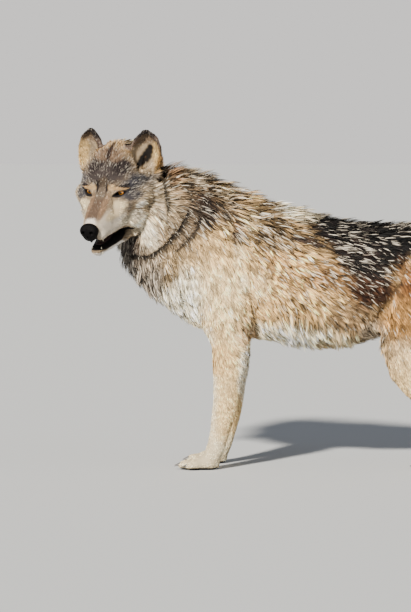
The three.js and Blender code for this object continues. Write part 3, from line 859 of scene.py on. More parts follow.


# folds of the coat, each darkened by painted shade in its hollow
SHADED_CREASES = (
    Crease(  # under the ruff
        ((-320, 575), (-286, 574), (-256, 574), (-211, 608), (-181, 642), (-162, 672), (-147, 707)), 10, 0.92
    ),
    Crease(((-192, 581), (-169, 604), (-147, 627), (-128, 657), (-116, 691)), 6, 0.8),  # behind it
    Crease(((-204, 680), (-211, 720), (-219, 770), (-226, 812)), 9, 0.9),  # behind the ear and cheek
    Crease(((30, 352), (26, 392), (14, 448), (2, 500)), 4, 0.6, True),  # behind the upper foreleg
    Crease(((346, 404), (372, 448), (404, 492), (424, 516)), 6, 0.6, True),  # ahead of the thigh
    Crease(((190, 452), (240, 456), (290, 450), (330, 466)), 4, 0.45, True, False),  # under the ribs
)


class Markings:
    """Paints the skin and the coat alike: colour, tip darkness and stray hairs at any place, with painted
    shade in the coat's folds, the ears' clefts and the mouth.
    """

    CONTRAST = 1.15  # power that deepens the colours
    RIGHT_CLEFT_SHADE = 0.35  # how dark the painted shadow in the right ear's cleft is beside the left one's
    RAGGED_FOLD = 26.0  # millimetres that noise moves a fold's edge
    WIDER = 2.4  # how much wider a fold's painted shade reaches on its far side

    def at(self, points: Array, coat: Coat) -> Array:
        """Returns the markings.

        Args:
            points: Places in the animal's frame.
            coat: Tells the head and ears from the body.

        Returns:
            Linear red, green, blue, tip and tick, one row a place.
        """
        ragged = 0.12 * lattice_noise(points, 34, 1) + 0.10 * lattice_noise(points, 11, 2)
        head_points = Space.to_head(points)
        away = coat.neck_share(head_points)[:, None]
        ear, ear_points = coat.ear_share(head_points)
        body = self._painted(BODY_DAUBS, points, ragged)
        head = self._painted(HEAD_DAUBS, head_points, ragged)
        inside = HeadForm.ear_inside(ear_points)[:, None]
        cup = self._painted(EAR_INSIDE_DAUBS, ear_points, ragged)
        # painted shadow down each ear's cleft, fainter in the right ear
        cleft_shade = self.cleft_shade(ear_points, ragged) * np.where(head_points[:, 0] > 0, 1.0, self.RIGHT_CLEFT_SHADE)
        cup[:, :3] += (srgb(EAR_CLEFT_SHADE_DAUBS[0].colour) - cup[:, :3]) * cleft_shade[:, None]
        ears = self._painted(EAR_BACK_DAUBS, ear_points, ragged) * (1 - inside) + cup * inside
        head += (ears - head) * ear[:, None]
        whole = head * (1 - away) + body * away
        whole[:, :3] **= self.CONTRAST
        # painted shade along each fold of the coat
        for crease in SHADED_CREASES:
            signed, beside = crease.offset(points)
            signed = signed + self.RAGGED_FOLD * ragged
            width = np.where(signed > 0, self.WIDER, 1.0)
            share = smoothstep(1.0, 0.2, np.abs(signed) / width / crease.dark) * beside
            whole[:, :3] *= 1 - (crease.strength * share)[:, None]
        return self._bare_parts(whole, head_points, points)

    @staticmethod
    def cleft_shade(ear_points: Array, ragged: Array) -> Array:
        """Returns 1 in the painted shadow of an ear's cleft, for places in the ear's frame."""
        return np.max([daub.share(ear_points, ragged) for daub in EAR_CLEFT_SHADE_DAUBS], axis=0)

    @staticmethod
    def _painted(daubs: tuple[Daub, ...], points: Array, ragged: Array) -> Array:
        """Lays the daubs one over the other.

        Args:
            daubs: From the lowest to the topmost.
            points: Places in the daubs' frame.
            ragged: Noise for their edges.

        Returns:
            Linear red, green, blue, tip and tick, one row a place.
        """
        mirrored = on_left(points)
        paint = np.zeros((len(points), 5))
        for daub in daubs:
            share = daub.share(mirrored, ragged)[:, None]
            paint += (np.array([*srgb(daub.colour), daub.tip, daub.tick]) - paint) * share
        return paint

    @staticmethod
    def _bare_parts(paint: Array, head_points: Array, points: Array) -> Array:
        """Darkens the eye rims, tear lines, lips, soles and the inside of the mouth, the last as painted
        shade.

        Args:
            paint: The markings so far, changed in place.
            head_points: The places in the head's frame.
            points: The places in the animal's frame.

        Returns:
            The markings.
        """
        at = tuple(on_left(head_points).T)
        black = srgb(BARE_AND_SHADE_BLACK)
        for share in (EyeOpening.rim(at), Mouth.dark(at), smoothstep(9, 5, points[:, 2])):
            paint[:, :3] += (black - paint[:, :3]) * share[:, None]
            paint[:, 3:] *= 1 - share[:, None]
        return paint


class EyeOpening:
    """Where the lids part, for paint and for keeping tufts clear."""

    SLANT = math.radians(10)
    HALF_LENGTH, RISE, FALL = 15.0, 6.4, 5.8  # of the almond, from its middle line
    MIDDLE = 0.6  # how high the middle line lies
    FACE_DEPTH = 16.0  # millimetres behind the pupils, past which nothing is near the opening
    FAR = 9.0  # almonds away, for places past that depth

    @classmethod
    def axes(cls, x: Array, z: Array) -> tuple[Array, Array]:
        """Turns the left side's places to lie along the slanted opening.

        Args:
            x: Across the head.
            z: Above the eyes.

        Returns:
            How far along the opening and how far across it each place lies.
        """
        right, up = x - EYE_CENTRE[0] - 1, z - EYE_CENTRE[2]
        return (right * math.cos(cls.SLANT) + up * math.sin(cls.SLANT),
                up * math.cos(cls.SLANT) - right * math.sin(cls.SLANT))

    @classmethod
    def reach(cls, at: Axes) -> Array:
        """Measures from the middle of the almond between the lids.

        Args:
            at: The places' x, y and z, with x as on the left side.

        Returns:
            How far each place lies from it, as a share of its size.
        """
        across, rise = cls.axes(at[0], at[2])
        height = np.where(rise > cls.MIDDLE, cls.RISE, cls.FALL)
        near = np.hypot(across / cls.HALF_LENGTH, (rise - cls.MIDDLE) / height)
        return np.where(at[1] < cls.FACE_DEPTH, near, cls.FAR)

    @classmethod
    def rim(cls, at: Axes) -> Array:
        """Finds the black rim, the tear line and the line behind the eye.

        Args:
            at: The places' x, y and z, with x as on the left side.

        Returns:
            1 on them and 0 off them.
        """
        x, y, z = at
        almond = smoothstep(1.28, 1.06, cls.reach(at))
        line = np.hypot(x - np.interp(-y, (0, 30), (33, 22)), z - np.interp(-y, (2, 30), (-8, -20)))
        tear = smoothstep(3.6, 1.8, line) * smoothstep(-28, -20, y) * (y < 0)
        outer = np.hypot((x - 68) / 9, (z - 0.5) / 1.7)
        return np.maximum.reduce([almond, tear * 0.9, smoothstep(1.2, 0.7, outer) * 0.8])


class Mouth:
    """Where the lips are black and the inside of the mouth is black as painted shade, and so bare."""

    # place and height along the lower edge of the black
    LIP = ((-112, -122.0), (-90, -127.5), (-50, -131.5), (-22, -131.0), (0, -125.5), (20, -117.0))

    @classmethod
    def dark(cls, at: Axes) -> Array:
        """Finds the black lips, the inside of the mouth, black as painted shade, and the front of the upper
        lip.

        Args:
            at: The places' x, y and z, with x as on the left side.

        Returns:
            1 on them and 0 off them.
        """
        x, y, z = at
        rows = np.array(HeadForm.MOUTH)
        upper = np.interp(y, rows[:, 0], rows[:, 1])
        lower = np.interp(y, *np.array(cls.LIP).T)
        between = np.minimum(upper + 2.5 - z, z - lower)
        lips = smoothstep(-1.2, 1.0, between) * (y < 21) * (x < 66)
        front = smoothstep(1.15, 0.9, np.hypot(x / (15 + 0.25 * (z + 90)), (z + 84) / 20)) * (y < -104)
        return np.maximum(lips, front)


# ---- The skin ----
def spacing(start: float, stops: tuple[tuple[float, float], ...]) -> Array:
    """Returns places along an axis.

    Args:
        start: The first place.
        stops: Pairs of (end, step), in order.

    Returns:
        The places, in millimetres.
    """
    places = [np.array([start])]
    for end, step in stops:
        count = max(1, round((end - places[-1][-1]) / step))
        places.append(np.linspace(places[-1][-1], end, count + 1)[1:])
    return np.concatenate(places)


@dataclass
class Skin:
    """One seamless skin for the whole animal, inside the solids by the coat's depth."""

    space: Space
    coat: Coat
    markings: Markings
    voxel: float = 5.0  # of the solids' field
    low: Triple = (-200.0, -530.0, -20.0)
    high: Triple = (290.0, 740.0, 940.0)
    parts: tuple[str, ...] = ("head", "neck", "trunk", "tail", "leg", "paw")
    margin: float = 1.0  # that the solids' field is grown by, to close the thin cuts between them
    band: float = 44.0  # beyond this far from the solids' outside the field is not needed
    head_sunk: tuple[float, float] = (26.0, 22.0)  # of the solids' head, and how much more in the face
    feet: float = 70.0  # below this height nothing is softened
    soften: int = 3  # rounds of softening along each axis
    stretches: tuple[tuple[tuple[float, float], ...], ...] = (  # each axis's ends and steps
        ((-36, 4.5), (268, 1.9), (290, 4.5)),
        ((-260, 1.7), (740, 4.6)),
        ((66, 3.2), (588, 4.8), (908, 1.7), (940, 4.0)),
    )
    corner: Triple = (-60.0, -150.0, 560.0)  # the head lies past these, ahead of the middle one
    neck_fillet: float = 18.0
    undercoat_shade: float = 0.62  # how much painted shade darkens the skin under the coat
    points: Array = field(init=False)
    normals: Array = field(init=False)
    quads: Array = field(init=False)

    def build(self) -> bpy.types.Object:
        """Builds the skin.

        Returns:
            Its object, tinted. Its points, normals and quads are kept for the tufts.
        """
        coarse = self._inset(self._solids_field())
        axes = [spacing(start, stops) for start, stops in zip(self.low, self.stretches)]
        fine = self._resampled(coarse, *axes)
        self._add_head(fine, *axes)
        cells, quads = surface(fine, FAR_OUTSIDE)
        columns = [np.interp(cells[:, i], np.arange(len(places)), places) for i, places in enumerate(axes)]
        self.points = np.stack(columns, 1)
        self.quads = facing_out(self.points, quads.astype(np.int64))
        piece = build_mesh("skin", self.space.metres(self.points), np.full(len(quads), 4), self.quads.ravel())
        flat = np.empty(len(self.points) * 3, np.float32)
        piece.data.vertex_normals.foreach_get("vector", flat)
        self.normals = flat.reshape(-1, 3).astype(float)
        paint = self.markings.at(self.points, self.coat)
        # the skin takes painted shade from the depth of the coat over it
        tint(piece, paint[:, :3] * self.undercoat_shade)
        return piece

    def _solids_field(self) -> Array:
        """Measures the flesh solids as one.

        Returns:
            The distance to their common outside at each point of the even lattice.
        """
        low = np.array(self.low)
        shape = np.ceil((np.array(self.high) - low) / self.voxel).astype(int) + 1
        near, far = 3.0, 9.0  # lattice steps that each solid's field and the common field reach
        whole = np.full(shape, near * self.voxel, np.float32)
        for name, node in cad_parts.items():
            if name.split("_")[0] not in self.parts:
                continue
            flat = np.empty(len(node.data.vertices) * 3, np.float32)
            node.data.vertices.foreach_get("co", flat)
            places = (self.space.millimetres(flat.reshape(-1, 3)) - low) / self.voxel
            node.data.calc_loop_triangles()
            corners = np.empty(len(node.data.loop_triangles) * 3, np.int32)
            node.data.loop_triangles.foreach_get("vertices", corners)
            welded, index = np.unique(np.round(places, 3), axis=0, return_inverse=True)
            faces = index.ravel()[corners.reshape(-1, 3)]
            part = distances(welded, {"triangles": faces}, shape, near)
            whole = np.minimum(whole, part * self.voxel)
        places, quads = surface(whole, near * self.voxel, self.margin)
        outer = distances(places, {"quads": quads}, shape, far)
        return outer * self.voxel + self.margin

    def _inset(self, outer: Array) -> Array:
        """Moves the surface in by the coat's depth and softens the joins between the solids.

        Args:
            outer: The solids' field.

        Returns:
            The skin's field on the same lattice, without the sculpted head.
        """
        near = np.argwhere(np.abs(outer) < self.band)
        places = np.array(self.low) + near * self.voxel
        depth = self.coat.body.at(places)[:, 5]
        head_points = Space.to_head(places)
        away = self.coat.neck_share(head_points)
        sunk = self.head_sunk[0] + self.head_sunk[1] * smoothstep(70, 20, head_points[:, 1])
        depth = depth * away + sunk * (1 - away)
        inner = outer.copy()
        inner[tuple(near.T)] += depth.astype(np.float32)
        inner[outer >= self.band] = self.band
        above = slice(int((self.feet - self.low[2]) / self.voxel), None)
        soft = inner.copy()
        for axis in range(3):
            for _ in range(self.soften):
                ahead, behind = np.roll(soft, 1, axis), np.roll(soft, -1, axis)
                soft = 0.5 * soft + 0.25 * (ahead + behind)
        inner[:, :, above] = soft[:, :, above]
        return inner

    def _resampled(self, coarse: Array, *axes: Array) -> Array:
        """Puts the even field on the finer, uneven axes.

        Args:
            coarse: The field on the even lattice.
            axes: Places along x, y and z.

        Returns:
            The field at every crossing of the axes.
        """
        values = coarse
        for axis, places in enumerate(axes):
            index = (places - self.low[axis]) / self.voxel
            base = np.clip(index.astype(int), 0, values.shape[axis] - 2)
            share = (index - base).astype(np.float32).reshape([-1 if i == axis else 1 for i in range(3)])
            values = values.take(base, axis) * (1 - share) + values.take(base + 1, axis) * share
        return values

    def _add_head(self, fine: Array, xs: Array, ys: Array, zs: Array) -> None:
        """Blends the sculpted head into the field, within the head's own corner of it.

        Args:
            fine: The field, changed in place.
            xs: Its places along x.
            ys: Along y.
            zs: Along z.
        """
        right, behind, below = self.corner
        part = (slice(np.searchsorted(xs, right), None), slice(0, np.searchsorted(ys, behind)),
                slice(np.searchsorted(zs, below), None))
        x, y, z = np.meshgrid(xs[part[0]], ys[part[1]], zs[part[2]], indexing="ij")
        flat = np.stack([x, y, z], -1).astype(np.float32) - EYE_MIDDLE.astype(np.float32)
        local = flat @ HEAD_AXES.astype(np.float32)
        at = tuple(np.ascontiguousarray(local[..., i]) for i in range(3))
        head = HeadForm().distance(at).astype(np.float32)
        fine[part] = blend(fine[part], head, self.neck_fillet)


def surface(values: Array, outside: float, level: float = 0.0) -> tuple[Array, Array]:
    """Meshes the places where a field takes one value.

    Args:
        values: The field on a lattice.
        outside: Its value beyond the lattice.
        level: The value to mesh.

    Returns:
        The vertices, in lattice steps, and the quads.
    """
    grid = vdb.FloatGrid(outside)
    grid.copyFromArray(values)
    return grid.convertToQuads(isovalue=level)


def distances(places: Array, faces: dict[str, Array], shape: Array, reach: float) -> Array:
    """Measures how far a lattice's points lie from a closed mesh.

    Args:
        places: The mesh's vertices, in lattice steps.
        faces: Its triangles or its quads, under that name.
        shape: The lattice's counts.
        reach: Lattice steps beyond which all points read the same.

    Returns:
        The distances, in lattice steps, negative inside.
    """
    whole_numbers = {kind: corners.astype(np.uint32) for kind, corners in faces.items()}
    grid = vdb.FloatGrid.createLevelSetFromPolygons(
        places.astype(np.float32), transform=vdb.createLinearTransform(1.0), halfWidth=reach, **whole_numbers
    )
    values = np.full(shape, reach, np.float32)
    grid.copyToArray(values)
    return values


def facing_out(points: Array, quads: Array) -> Array:
    """Returns a closed surface's faces, all turned outwards."""
    a, b, c = (points[quads[:, i]] - points.mean(0) for i in range(3))
    return quads[:, ::-1].copy() if (np.cross(b - a, c - a) * a).sum() < 0 else quads


def build_mesh(name: str, places: Array, sizes: Array, corners: Array) -> bpy.types.Object:
    """Makes a smooth-shaded mesh object in the scene.

    Args:
        name: The piece's name.
        places: Vertices in row-frame metres.
        sizes: Corners of each face.
        corners: Vertex numbers of every face, one after another.

    Returns:
        The new object.
    """
    mesh = bpy.data.meshes.new(name)
    mesh.vertices.add(len(places))
    mesh.vertices.foreach_set("co", places.astype(np.float32).ravel())
    mesh.loops.add(len(corners))
    mesh.loops.foreach_set("vertex_index", corners.astype(np.int32))
    mesh.polygons.add(len(sizes))
    starts = np.concatenate([[0], np.cumsum(sizes)[:-1]])
    mesh.polygons.foreach_set("loop_start", starts.astype(np.int32))
    mesh.polygons.foreach_set("use_smooth", np.ones(len(sizes), bool))
    mesh.update(calc_edges=True)
    piece = bpy.data.objects.new(name, mesh)
    bpy.context.scene.collection.objects.link(piece)
    return piece


def tint(piece: bpy.types.Object, colours: Array) -> None:
    """Stores colours on a piece's vertices under the name tint.

    Args:
        piece: The mesh object.
        colours: Linear red, green and blue, one row a vertex.
    """
    layer = piece.data.color_attributes.new("tint", "FLOAT_COLOR", "POINT")
    rgba = np.concatenate([colours, np.ones((len(colours), 1))], 1)
    layer.data.foreach_set("color", rgba.astype(np.float32).ravel())


# ---- The tufts ----
class Region(Enum):
    """The pieces of the coat, each with its name and the name of a finish slot that the script does not read.
    """

    HEAD_LEFT = ("coat_head_left", "grey_coat")
    HEAD_RIGHT = ("coat_head_right", "grey_coat")
    NECK = ("coat_neck", "coat")
    FRONT_LEFT = ("coat_front_left", "coat")
    FRONT_RIGHT = ("coat_front_right", "coat")
    REAR_LEFT = ("coat_rear_left", "coat")
    REAR_RIGHT = ("coat_rear_right", "coat")
    FORELEGS = ("coat_forelegs", "pale_coat")
    HIND_LEGS = ("coat_hind_legs", "pale_coat")
    TAIL = ("coat_tail", "grey_coat")


@dataclass
class Tufts:
    """Grows tufts from the skin and joins them into one mesh a region."""

    space: Space
    skin: Skin
    coat: Coat
    markings: Markings
    crowd: float = 1.2  # tufts for each spacing squared
    clump_size: int = 6  # tufts in a lock
    gather: float = 0.62  # how far the longest tufts lean to the middle of their lock
    lengths: tuple[float, float] = (0.72, 1.18)  # least and most, as shares of the lie's
    lifts: tuple[float, float] = (0.6, 1.3)
    half_widths: tuple[float, float] = (0.26, 0.52)  # as shares of the spacing
    trims: tuple[float, float] = (0.6, 1.08)  # shares of the way to a fold at which a tuft may end
    stations: tuple[float, ...] = (0.0, 0.36, 0.72, 1.0)  # along each tuft, as shares of its length
    widths: tuple[float, ...] = (0.75, 1.0, 0.66)  # at all stations but the tip, which is a point
    sunk: float = 1.0  # millimetres that a root lies under the skin
    floor: float = 0.5  # millimetres that every tuft keeps over the floor
    sole: float = 4.0  # nothing grows below this height
    batch: float = 14.0  # millimetres across the squares in which the faces are taken in turn
    patch: float = 0.003  # of a tuft on the map
    bands: tuple[tuple[float, float], ...] = (  # at each station: brightness, low at the root as painted shade deep in the coat, and share of the dark tip
        (0.32, 0.0), (0.82, 0.0), (1.10, 0.4), (1.16, 1.0),
    )

    def build(self) -> list[tuple[bpy.types.Object, Region]]:
        """Builds every region's tufts.

        Returns:
            Each coat piece with its region.
        """
        rng = np.random.default_rng(SEED)
        lie = self.coat.at(self.skin.points, self.skin.normals)
        bare = self._bare(self.skin.points)
        roots, normals, lie = self._scatter(rng, lie, bare)
        log.info("%d tufts", len(roots))
        pieces = []
        regions = self._regions(roots)
        for number, region in enumerate(Region):
            chosen = np.flatnonzero(regions == number)
            piece = self._grow(rng, region, roots[chosen], normals[chosen], lie[chosen])
            pieces.append((piece, region))
        return pieces

    def _bare(self, points: Array) -> Array:
        """Finds where no tufts grow: eyes, nose, mouth, the depth of the left ear where its cleft's painted
        shadow lies, and the soles.

        Args:
            points: Places in the animal's frame.

        Returns:
            1 there and 0 elsewhere.
        """
        head = Space.to_head(points)
        at = tuple(on_left(head).T)
        bare = EyeOpening.reach(at) < 1.2
        bare |= Mouth.dark(at) > 0.4
        bare |= np.linalg.norm((head - [0, -126, -60]) / [27, 13, 24], axis=1) < 1
        ear, local = self.coat.ear_share(head)
        bare |= (head[:, 0] > 0) & (ear > 0.5) & (Markings.cleft_shade(local, np.zeros(len(local))) > 0.6)
        bare |= points[:, 2] < self.sole
        return bare.astype(float)

    def _scatter(self, rng: np.random.Generator, lie: Array, bare: Array) -> tuple[Array, ...]:
        """Spreads roots over the skin.

        Args:
            rng: The source of chance.
            lie: The coat at each skin vertex.
            bare: 1 at each vertex where nothing grows.

        Returns:
            The roots, their normals and the coat at each.
        """
        points, quads = self.skin.points, self.skin.quads
        corners = points[quads]
        diagonals = corners[:, 2] - corners[:, 0], corners[:, 3] - corners[:, 1]
        area = np.linalg.norm(np.cross(*diagonals), axis=1) / 2
        wanted = area * self.crowd / lie[quads[:, 0], 6] ** 2
        wanted[bare[quads].max(1) > 0.5] = 0
        rows, columns = np.floor(corners[:, 0, 2] / self.batch), np.floor(corners[:, 0, 1] / self.batch)
        order = np.argsort(rows * 1e6 + columns * 1e3 + corners[:, 0, 0])
        total = np.cumsum(wanted[order])
        count = int(total[-1])
        draws = (np.arange(count) + rng.random(count)) * (total[-1] / count)
        faces = quads[order[np.searchsorted(total, draws).clip(0, len(order) - 1)]]
        u, v = rng.random((2, count, 1))
        shares = ((1 - u) * (1 - v), u * (1 - v), u * v, (1 - u) * v)
        roots, normals, here = (
            sum(share * values[faces[:, i]] for i, share in enumerate(shares))
            for values in (points, self.skin.normals, lie)
        )
        return roots, unit(normals), here

    def _regions(self, roots: Array) -> Array:
        """Divides the roots among the pieces of the coat.

        Args:
            roots: Where the tufts stand.

        Returns:
            Each root's region, as its number in the order of Region.
        """
        x, y, z = roots.T
        head = Space.to_head(roots)
        on_head = self.coat.neck_share(head) < 0.5
        at_tail = y > 596 + np.clip(560 - z, -40, 30) * 0.6
        laid = (  # each over the ones before it
            (Region.FRONT_LEFT, (y < 190) & (x > 0)),
            (Region.FRONT_RIGHT, (y < 190) & (x <= 0)),
            (Region.REAR_LEFT, (y >= 190) & (x > 0)),
            (Region.REAR_RIGHT, (y >= 190) & (x <= 0)),
            (Region.NECK, y + (z - 600) * 0.5 < -110),
            (Region.FORELEGS, (z < 330) & (y < 140) & (np.abs(x) > 34)),
            (Region.HIND_LEGS, (z < 360) & (y > 340)),
            (Region.TAIL, at_tail & (z > 180) & (np.abs(x) < 60)),
            (Region.HEAD_LEFT, on_head & (head[:, 0] > 0)),
            (Region.HEAD_RIGHT, on_head & (head[:, 0] <= 0)),
        )
        found = np.zeros(len(roots), int)
        for region, here in laid:
            found[here] = list(Region).index(region)
        return found

    def _grow(self, rng: np.random.Generator, region: Region, roots: Array, normals: Array,
              lie: Array) -> bpy.types.Object:
        """Builds one region's tufts as one mesh.

        Args:
            rng: The source of chance.
            region: Which piece.
            roots: Where the tufts stand.
            normals: The skin's direction at each root.
            lie: The coat at each root.

        Returns:
            The joined mesh's object.
        """
        count = len(roots)
        clump, centre = self._clumps(rng, roots)
        loose = smoothstep(10, 44, lie[:, 3])
        stray = rng.normal(size=(2, len(centre)))[:, clump] * (0.3 + 0.7 * loose)
        length = lie[:, 3] * rng.uniform(*self.lengths, count)
        lift = lie[:, 4] * np.clip(rng.uniform(*self.lifts, count) + 0.42 * stray[0], 0.25, 2.0)
        flow = self._swayed(rng, roots, normals, unit(lie[:, :3]), stray[1])
        length = self._trimmed(roots, flow, length, rng.uniform(*self.trims, count))
        spine = self._spines(roots, normals, flow, length, lift)
        for step in range(1, len(self.stations)):
            pull = (self.gather * loose)[:, None] * self.stations[step] ** 1.2
            spine[:, step] += (spine[centre[clump], step] - spine[:, step]) * pull
        spine[:, :, 2] = np.maximum(spine[:, :, 2], self.floor)
        width = lie[:, 6] * rng.uniform(*self.half_widths, count)
        roll = rng.normal(0, 0.5, count)[:, None]
        blade = unit(np.cross(flow, normals)) * np.cos(roll) + normals * np.sin(roll)
        seen = roots + flow * (0.5 * length)[:, None]
        colours = self._colours(rng, self.markings.at(seen, self.coat), seen, clump, length)
        return self._joined(region, roots, spine, blade * width[:, None], colours)

    def _joined(self, region: Region, roots: Array, spine: Array, blade: Array,
                colours: Array) -> bpy.types.Object:
        """Makes the tufts' mesh: two quads and a pointed triangle a tuft.

        Args:
            region: Which piece.
            roots: Where the tufts stand.
            spine: The stations of each tuft's middle line.
            blade: From its middle line to its edge, where it is widest.
            colours: Its colour at each station.

        Returns:
            The piece.
        """
        steps = len(self.widths)
        places = np.empty((len(roots), 2 * steps + 1, 3))
        for step, share in enumerate(self.widths):
            offset = blade * share
            places[:, 2 * step], places[:, 2 * step + 1] = spine[:, step] - offset, spine[:, step] + offset
        places[:, -1] = spine[:, -1]
        shades = np.repeat(colours, 2, axis=1)[:, :-1]
        faces = np.array([0, 1, 3, 2, 2, 3, 5, 4, 4, 5, 6])
        corners = (np.arange(len(roots))[:, None] * (2 * steps + 1) + faces).ravel()
        sizes = np.tile([4, 4, 3], len(roots))
        piece = build_mesh(region.value[0], self.space.metres(places.reshape(-1, 3)), sizes, corners)
        tint(piece, shades.reshape(-1, 3))
        self._unwrap(piece, region, roots, faces)
        return piece

    @staticmethod
    def _swayed(rng: np.random.Generator, roots: Array, normals: Array, flow: Array, stray: Array) -> Array:
        """Turns each tuft a little aside, in broad and fine waves and lock by lock.

        Args:
            rng: The source of chance.
            roots: Where the tufts stand.
            normals: The skin's direction at each root.
            flow: The way that the coat lies there.
            stray: How far each tuft's lock turns aside.

        Returns:
            The way that each tuft lies.
        """
        sway = 0.20 * lattice_noise(roots, 30, 5) + 0.12 * lattice_noise(roots, 9, 6) + 0.16 * stray
        sway += 0.10 * rng.normal(size=len(roots))
        return unit(flow + np.cross(flow, normals) * sway[:, None])

    @staticmethod
    def _trimmed(roots: Array, flow: Array, length: Array, uneven: Array) -> Array:
        """Ends the tufts that lie over a fold near it, and shortens those in it.

        Args:
            roots: Where the tufts stand.
            flow: The way that each lies.
            length: Their lengths.
            uneven: The share of the way to the fold at which each ends.

        Returns:
            The new lengths.
        """
        for crease in SHADED_CREASES:
            here, beside = crease.offset(roots)
            inside = smoothstep(crease.dark, 0, np.abs(here)) * beside
            length = length * (1 - 0.55 * inside)
            if crease.trims:
                there, _ = crease.offset(roots + flow * length[:, None] * 0.95)
                crosses = (here * there < 0) & (beside > 0.3) & (np.abs(here) > 2)
                reach = np.abs(here) / np.maximum(np.abs(here) + np.abs(there), 1e-6)
                length = np.where(crosses, np.maximum(length * np.minimum(reach * uneven, 1), 9), length)
        return length

    def _spines(self, roots: Array, normals: Array, flow: Array, length: Array, lift: Array) -> Array:
        """Bends each tuft's middle line over, from where it rises at its root.

        Args:
            roots: Where the tufts stand.
            normals: The skin's direction at each root.
            flow: The way that each lies.
            length: Their lengths.
            lift: Degrees that each rises.

        Returns:
            The place of each station of each tuft.
        """
        spine = np.empty((len(roots), len(self.stations), 3))
        spine[:, 0] = roots - normals * self.sunk
        for step in range(1, len(self.stations)):
            bend = np.radians(lift * (1.7 - 1.25 * self.stations[step]))
            way = flow * np.cos(bend)[:, None] + normals * np.sin(bend)[:, None]
            run = length * (self.stations[step] - self.stations[step - 1])
            spine[:, step] = spine[:, step - 1] + way * run[:, None]
        return spine

    def _clumps(self, rng: np.random.Generator, roots: Array) -> tuple[Array, Array]:
        """Gathers neighbouring tufts into locks.

        Args:
            rng: The source of chance.
            roots: Where the tufts stand.

        Returns:
            Each tuft's lock, and the tuft in the middle of each lock.
        """
        centre = rng.choice(len(roots), max(1, len(roots) // self.clump_size), replace=False)
        tree = KDTree(len(centre))
        for number, tuft in enumerate(centre):
            tree.insert(roots[tuft], number)
        tree.balance()
        return np.array([tree.find(root)[1] for root in roots]), centre

    def _colours(self, rng: np.random.Generator, paint: Array, seen: Array, clump: Array,
                 length: Array) -> Array:
        """Colours each tuft with a root darkened by painted shade, a pale band and a darker tip.

        Args:
            rng: The source of chance.
            paint: The markings at each tuft.
            seen: The middle of each tuft.
            clump: Its lock.
            length: Its length.

        Returns:
            Linear red, green and blue at each station of each tuft.
        """
        count = len(paint)
        body, tip, tick = paint[:, :3], paint[:, 3], paint[:, 4]
        locks, fates = rng.normal(size=clump.max() + 1)[clump], rng.random(clump.max() + 1)[clump]
        loose = smoothstep(12, 50, length)
        short = smoothstep(8, 26, length)
        tone = (0.18 + 0.16 * short + 0.24 * loose) * locks + 0.22 * rng.normal(size=count)
        tone = np.exp(tone + (0.3 * short + 0.8 * loose) * lattice_noise(seen, 15, 7) - 0.08 * loose)
        chance = np.where(rng.random(count) < 0.5 * loose, fates, rng.random(count))
        dark = chance < tick * 0.42
        pale = chance > 1 - tick * 0.30
        body = body * tone[:, None]
        body = np.where(dark[:, None], body * (0.34 - 0.20 * loose)[:, None], body)
        whiter = body + (srgb(HAIR_WHITE) - body) * (0.35 + 0.35 * loose)[:, None]
        body = np.where(pale[:, None], whiter, body)
        shade = np.clip(tip * (0.6 + 0.5 * locks + 0.35 * rng.normal(size=count)), 0, 1)
        black = srgb(TIP_BLACK)
        bands = []
        for level, share in self.bands:
            bands.append(body * level + (black - body * level) * (shade * share)[:, None])
        return np.clip(np.stack(bands, 1), 0.004, 0.92)

    def _unwrap(self, piece: bpy.types.Object, region: Region, roots: Array, faces: Array) -> None:
        """Gives each tuft a small patch of the map at its root's place on an unwrap of the skin.

        Args:
            piece: The coat piece.
            region: Which one, to choose the unwrap.
            roots: Where the tufts stand.
            faces: The vertex numbers of one tuft's corners.
        """
        if region in (Region.HEAD_LEFT, Region.HEAD_RIGHT):
            local = Space.to_head(roots) - [0, 40, -30]
            u = np.arctan2(local[:, 2], np.abs(local[:, 0]) + 1e-6)
            v = np.arccos(np.clip(unit(local)[:, 1], -1, 1))
        elif region in (Region.FORELEGS, Region.HIND_LEGS):
            middle = np.where(roots[:, 0] > 0, 82, -82)
            axis = np.median(roots[:, 1])
            around = np.arctan2(roots[:, 1] - axis, roots[:, 0] - middle) / (2 * math.pi) + 0.5
            u, v = around + (roots[:, 0] > 0), roots[:, 2]
        elif region is Region.TAIL:
            u, v = np.arctan2(roots[:, 0], 655 - roots[:, 1]), roots[:, 2]
        elif region is Region.NECK:
            u, v = np.arctan2(roots[:, 0] - 20, roots[:, 2] - 640), roots[:, 1] - 0.5 * roots[:, 2]
        else:
            u, v = np.arctan2(np.abs(roots[:, 0]), roots[:, 2] - 530), roots[:, 1]
        place = np.stack([u, v], 1)
        low, high = place.min(0), place.max(0)
        place = self.patch + (place - low) / (high - low) * (1 - 3 * self.patch)
        across = np.append(np.tile([0.0, 1.0], len(self.widths)), 0.5)
        along = np.repeat(self.stations, 2)[:-1]
        within = np.stack([across, along], 1)[faces] * self.patch
        layer = piece.data.uv_layers.new(name="OFBake")
        layer.uv.foreach_set("vector", (place[:, None] + within[None]).astype(np.float32).ravel())


# ---- Materials ----
def spread_over(tree: bpy.types.NodeTree, source: bpy.types.NodeSocket, low: float,
                high: float) -> bpy.types.NodeSocket:
    """Maps a value between 0 and 1 to a range.

    Args:
        tree: The nodes to add to.
        source: Where the value comes from.
        low: What 0 becomes.
        high: What 1 becomes.

    Returns:
        Where the mapped value comes out.
    """
    node = tree.nodes.new("ShaderNodeMapRange")
    node.inputs["To Min"].default_value = low
    node.inputs["To Max"].default_value = high
    tree.links.new(source, node.inputs["Value"])
    return node.outputs["Result"]


def multiplied(tree: bpy.types.NodeTree, colour: bpy.types.NodeSocket,
               factor: bpy.types.NodeSocket) -> bpy.types.ShaderNode:
    """Multiplies a colour by a value.

    Args:
        tree: The nodes to add to.
        colour: Where the colour comes from.
        factor: Where the value comes from.

    Returns:
        The node, whose Factor says how much of the product shows.
    """
    node = tree.nodes.new("ShaderNodeMix")
    node.data_type = "RGBA"
    node.blend_type = "MULTIPLY"
    tree.links.new(colour, node.inputs["A"])
    tree.links.new(factor, node.inputs["B"])
    return node


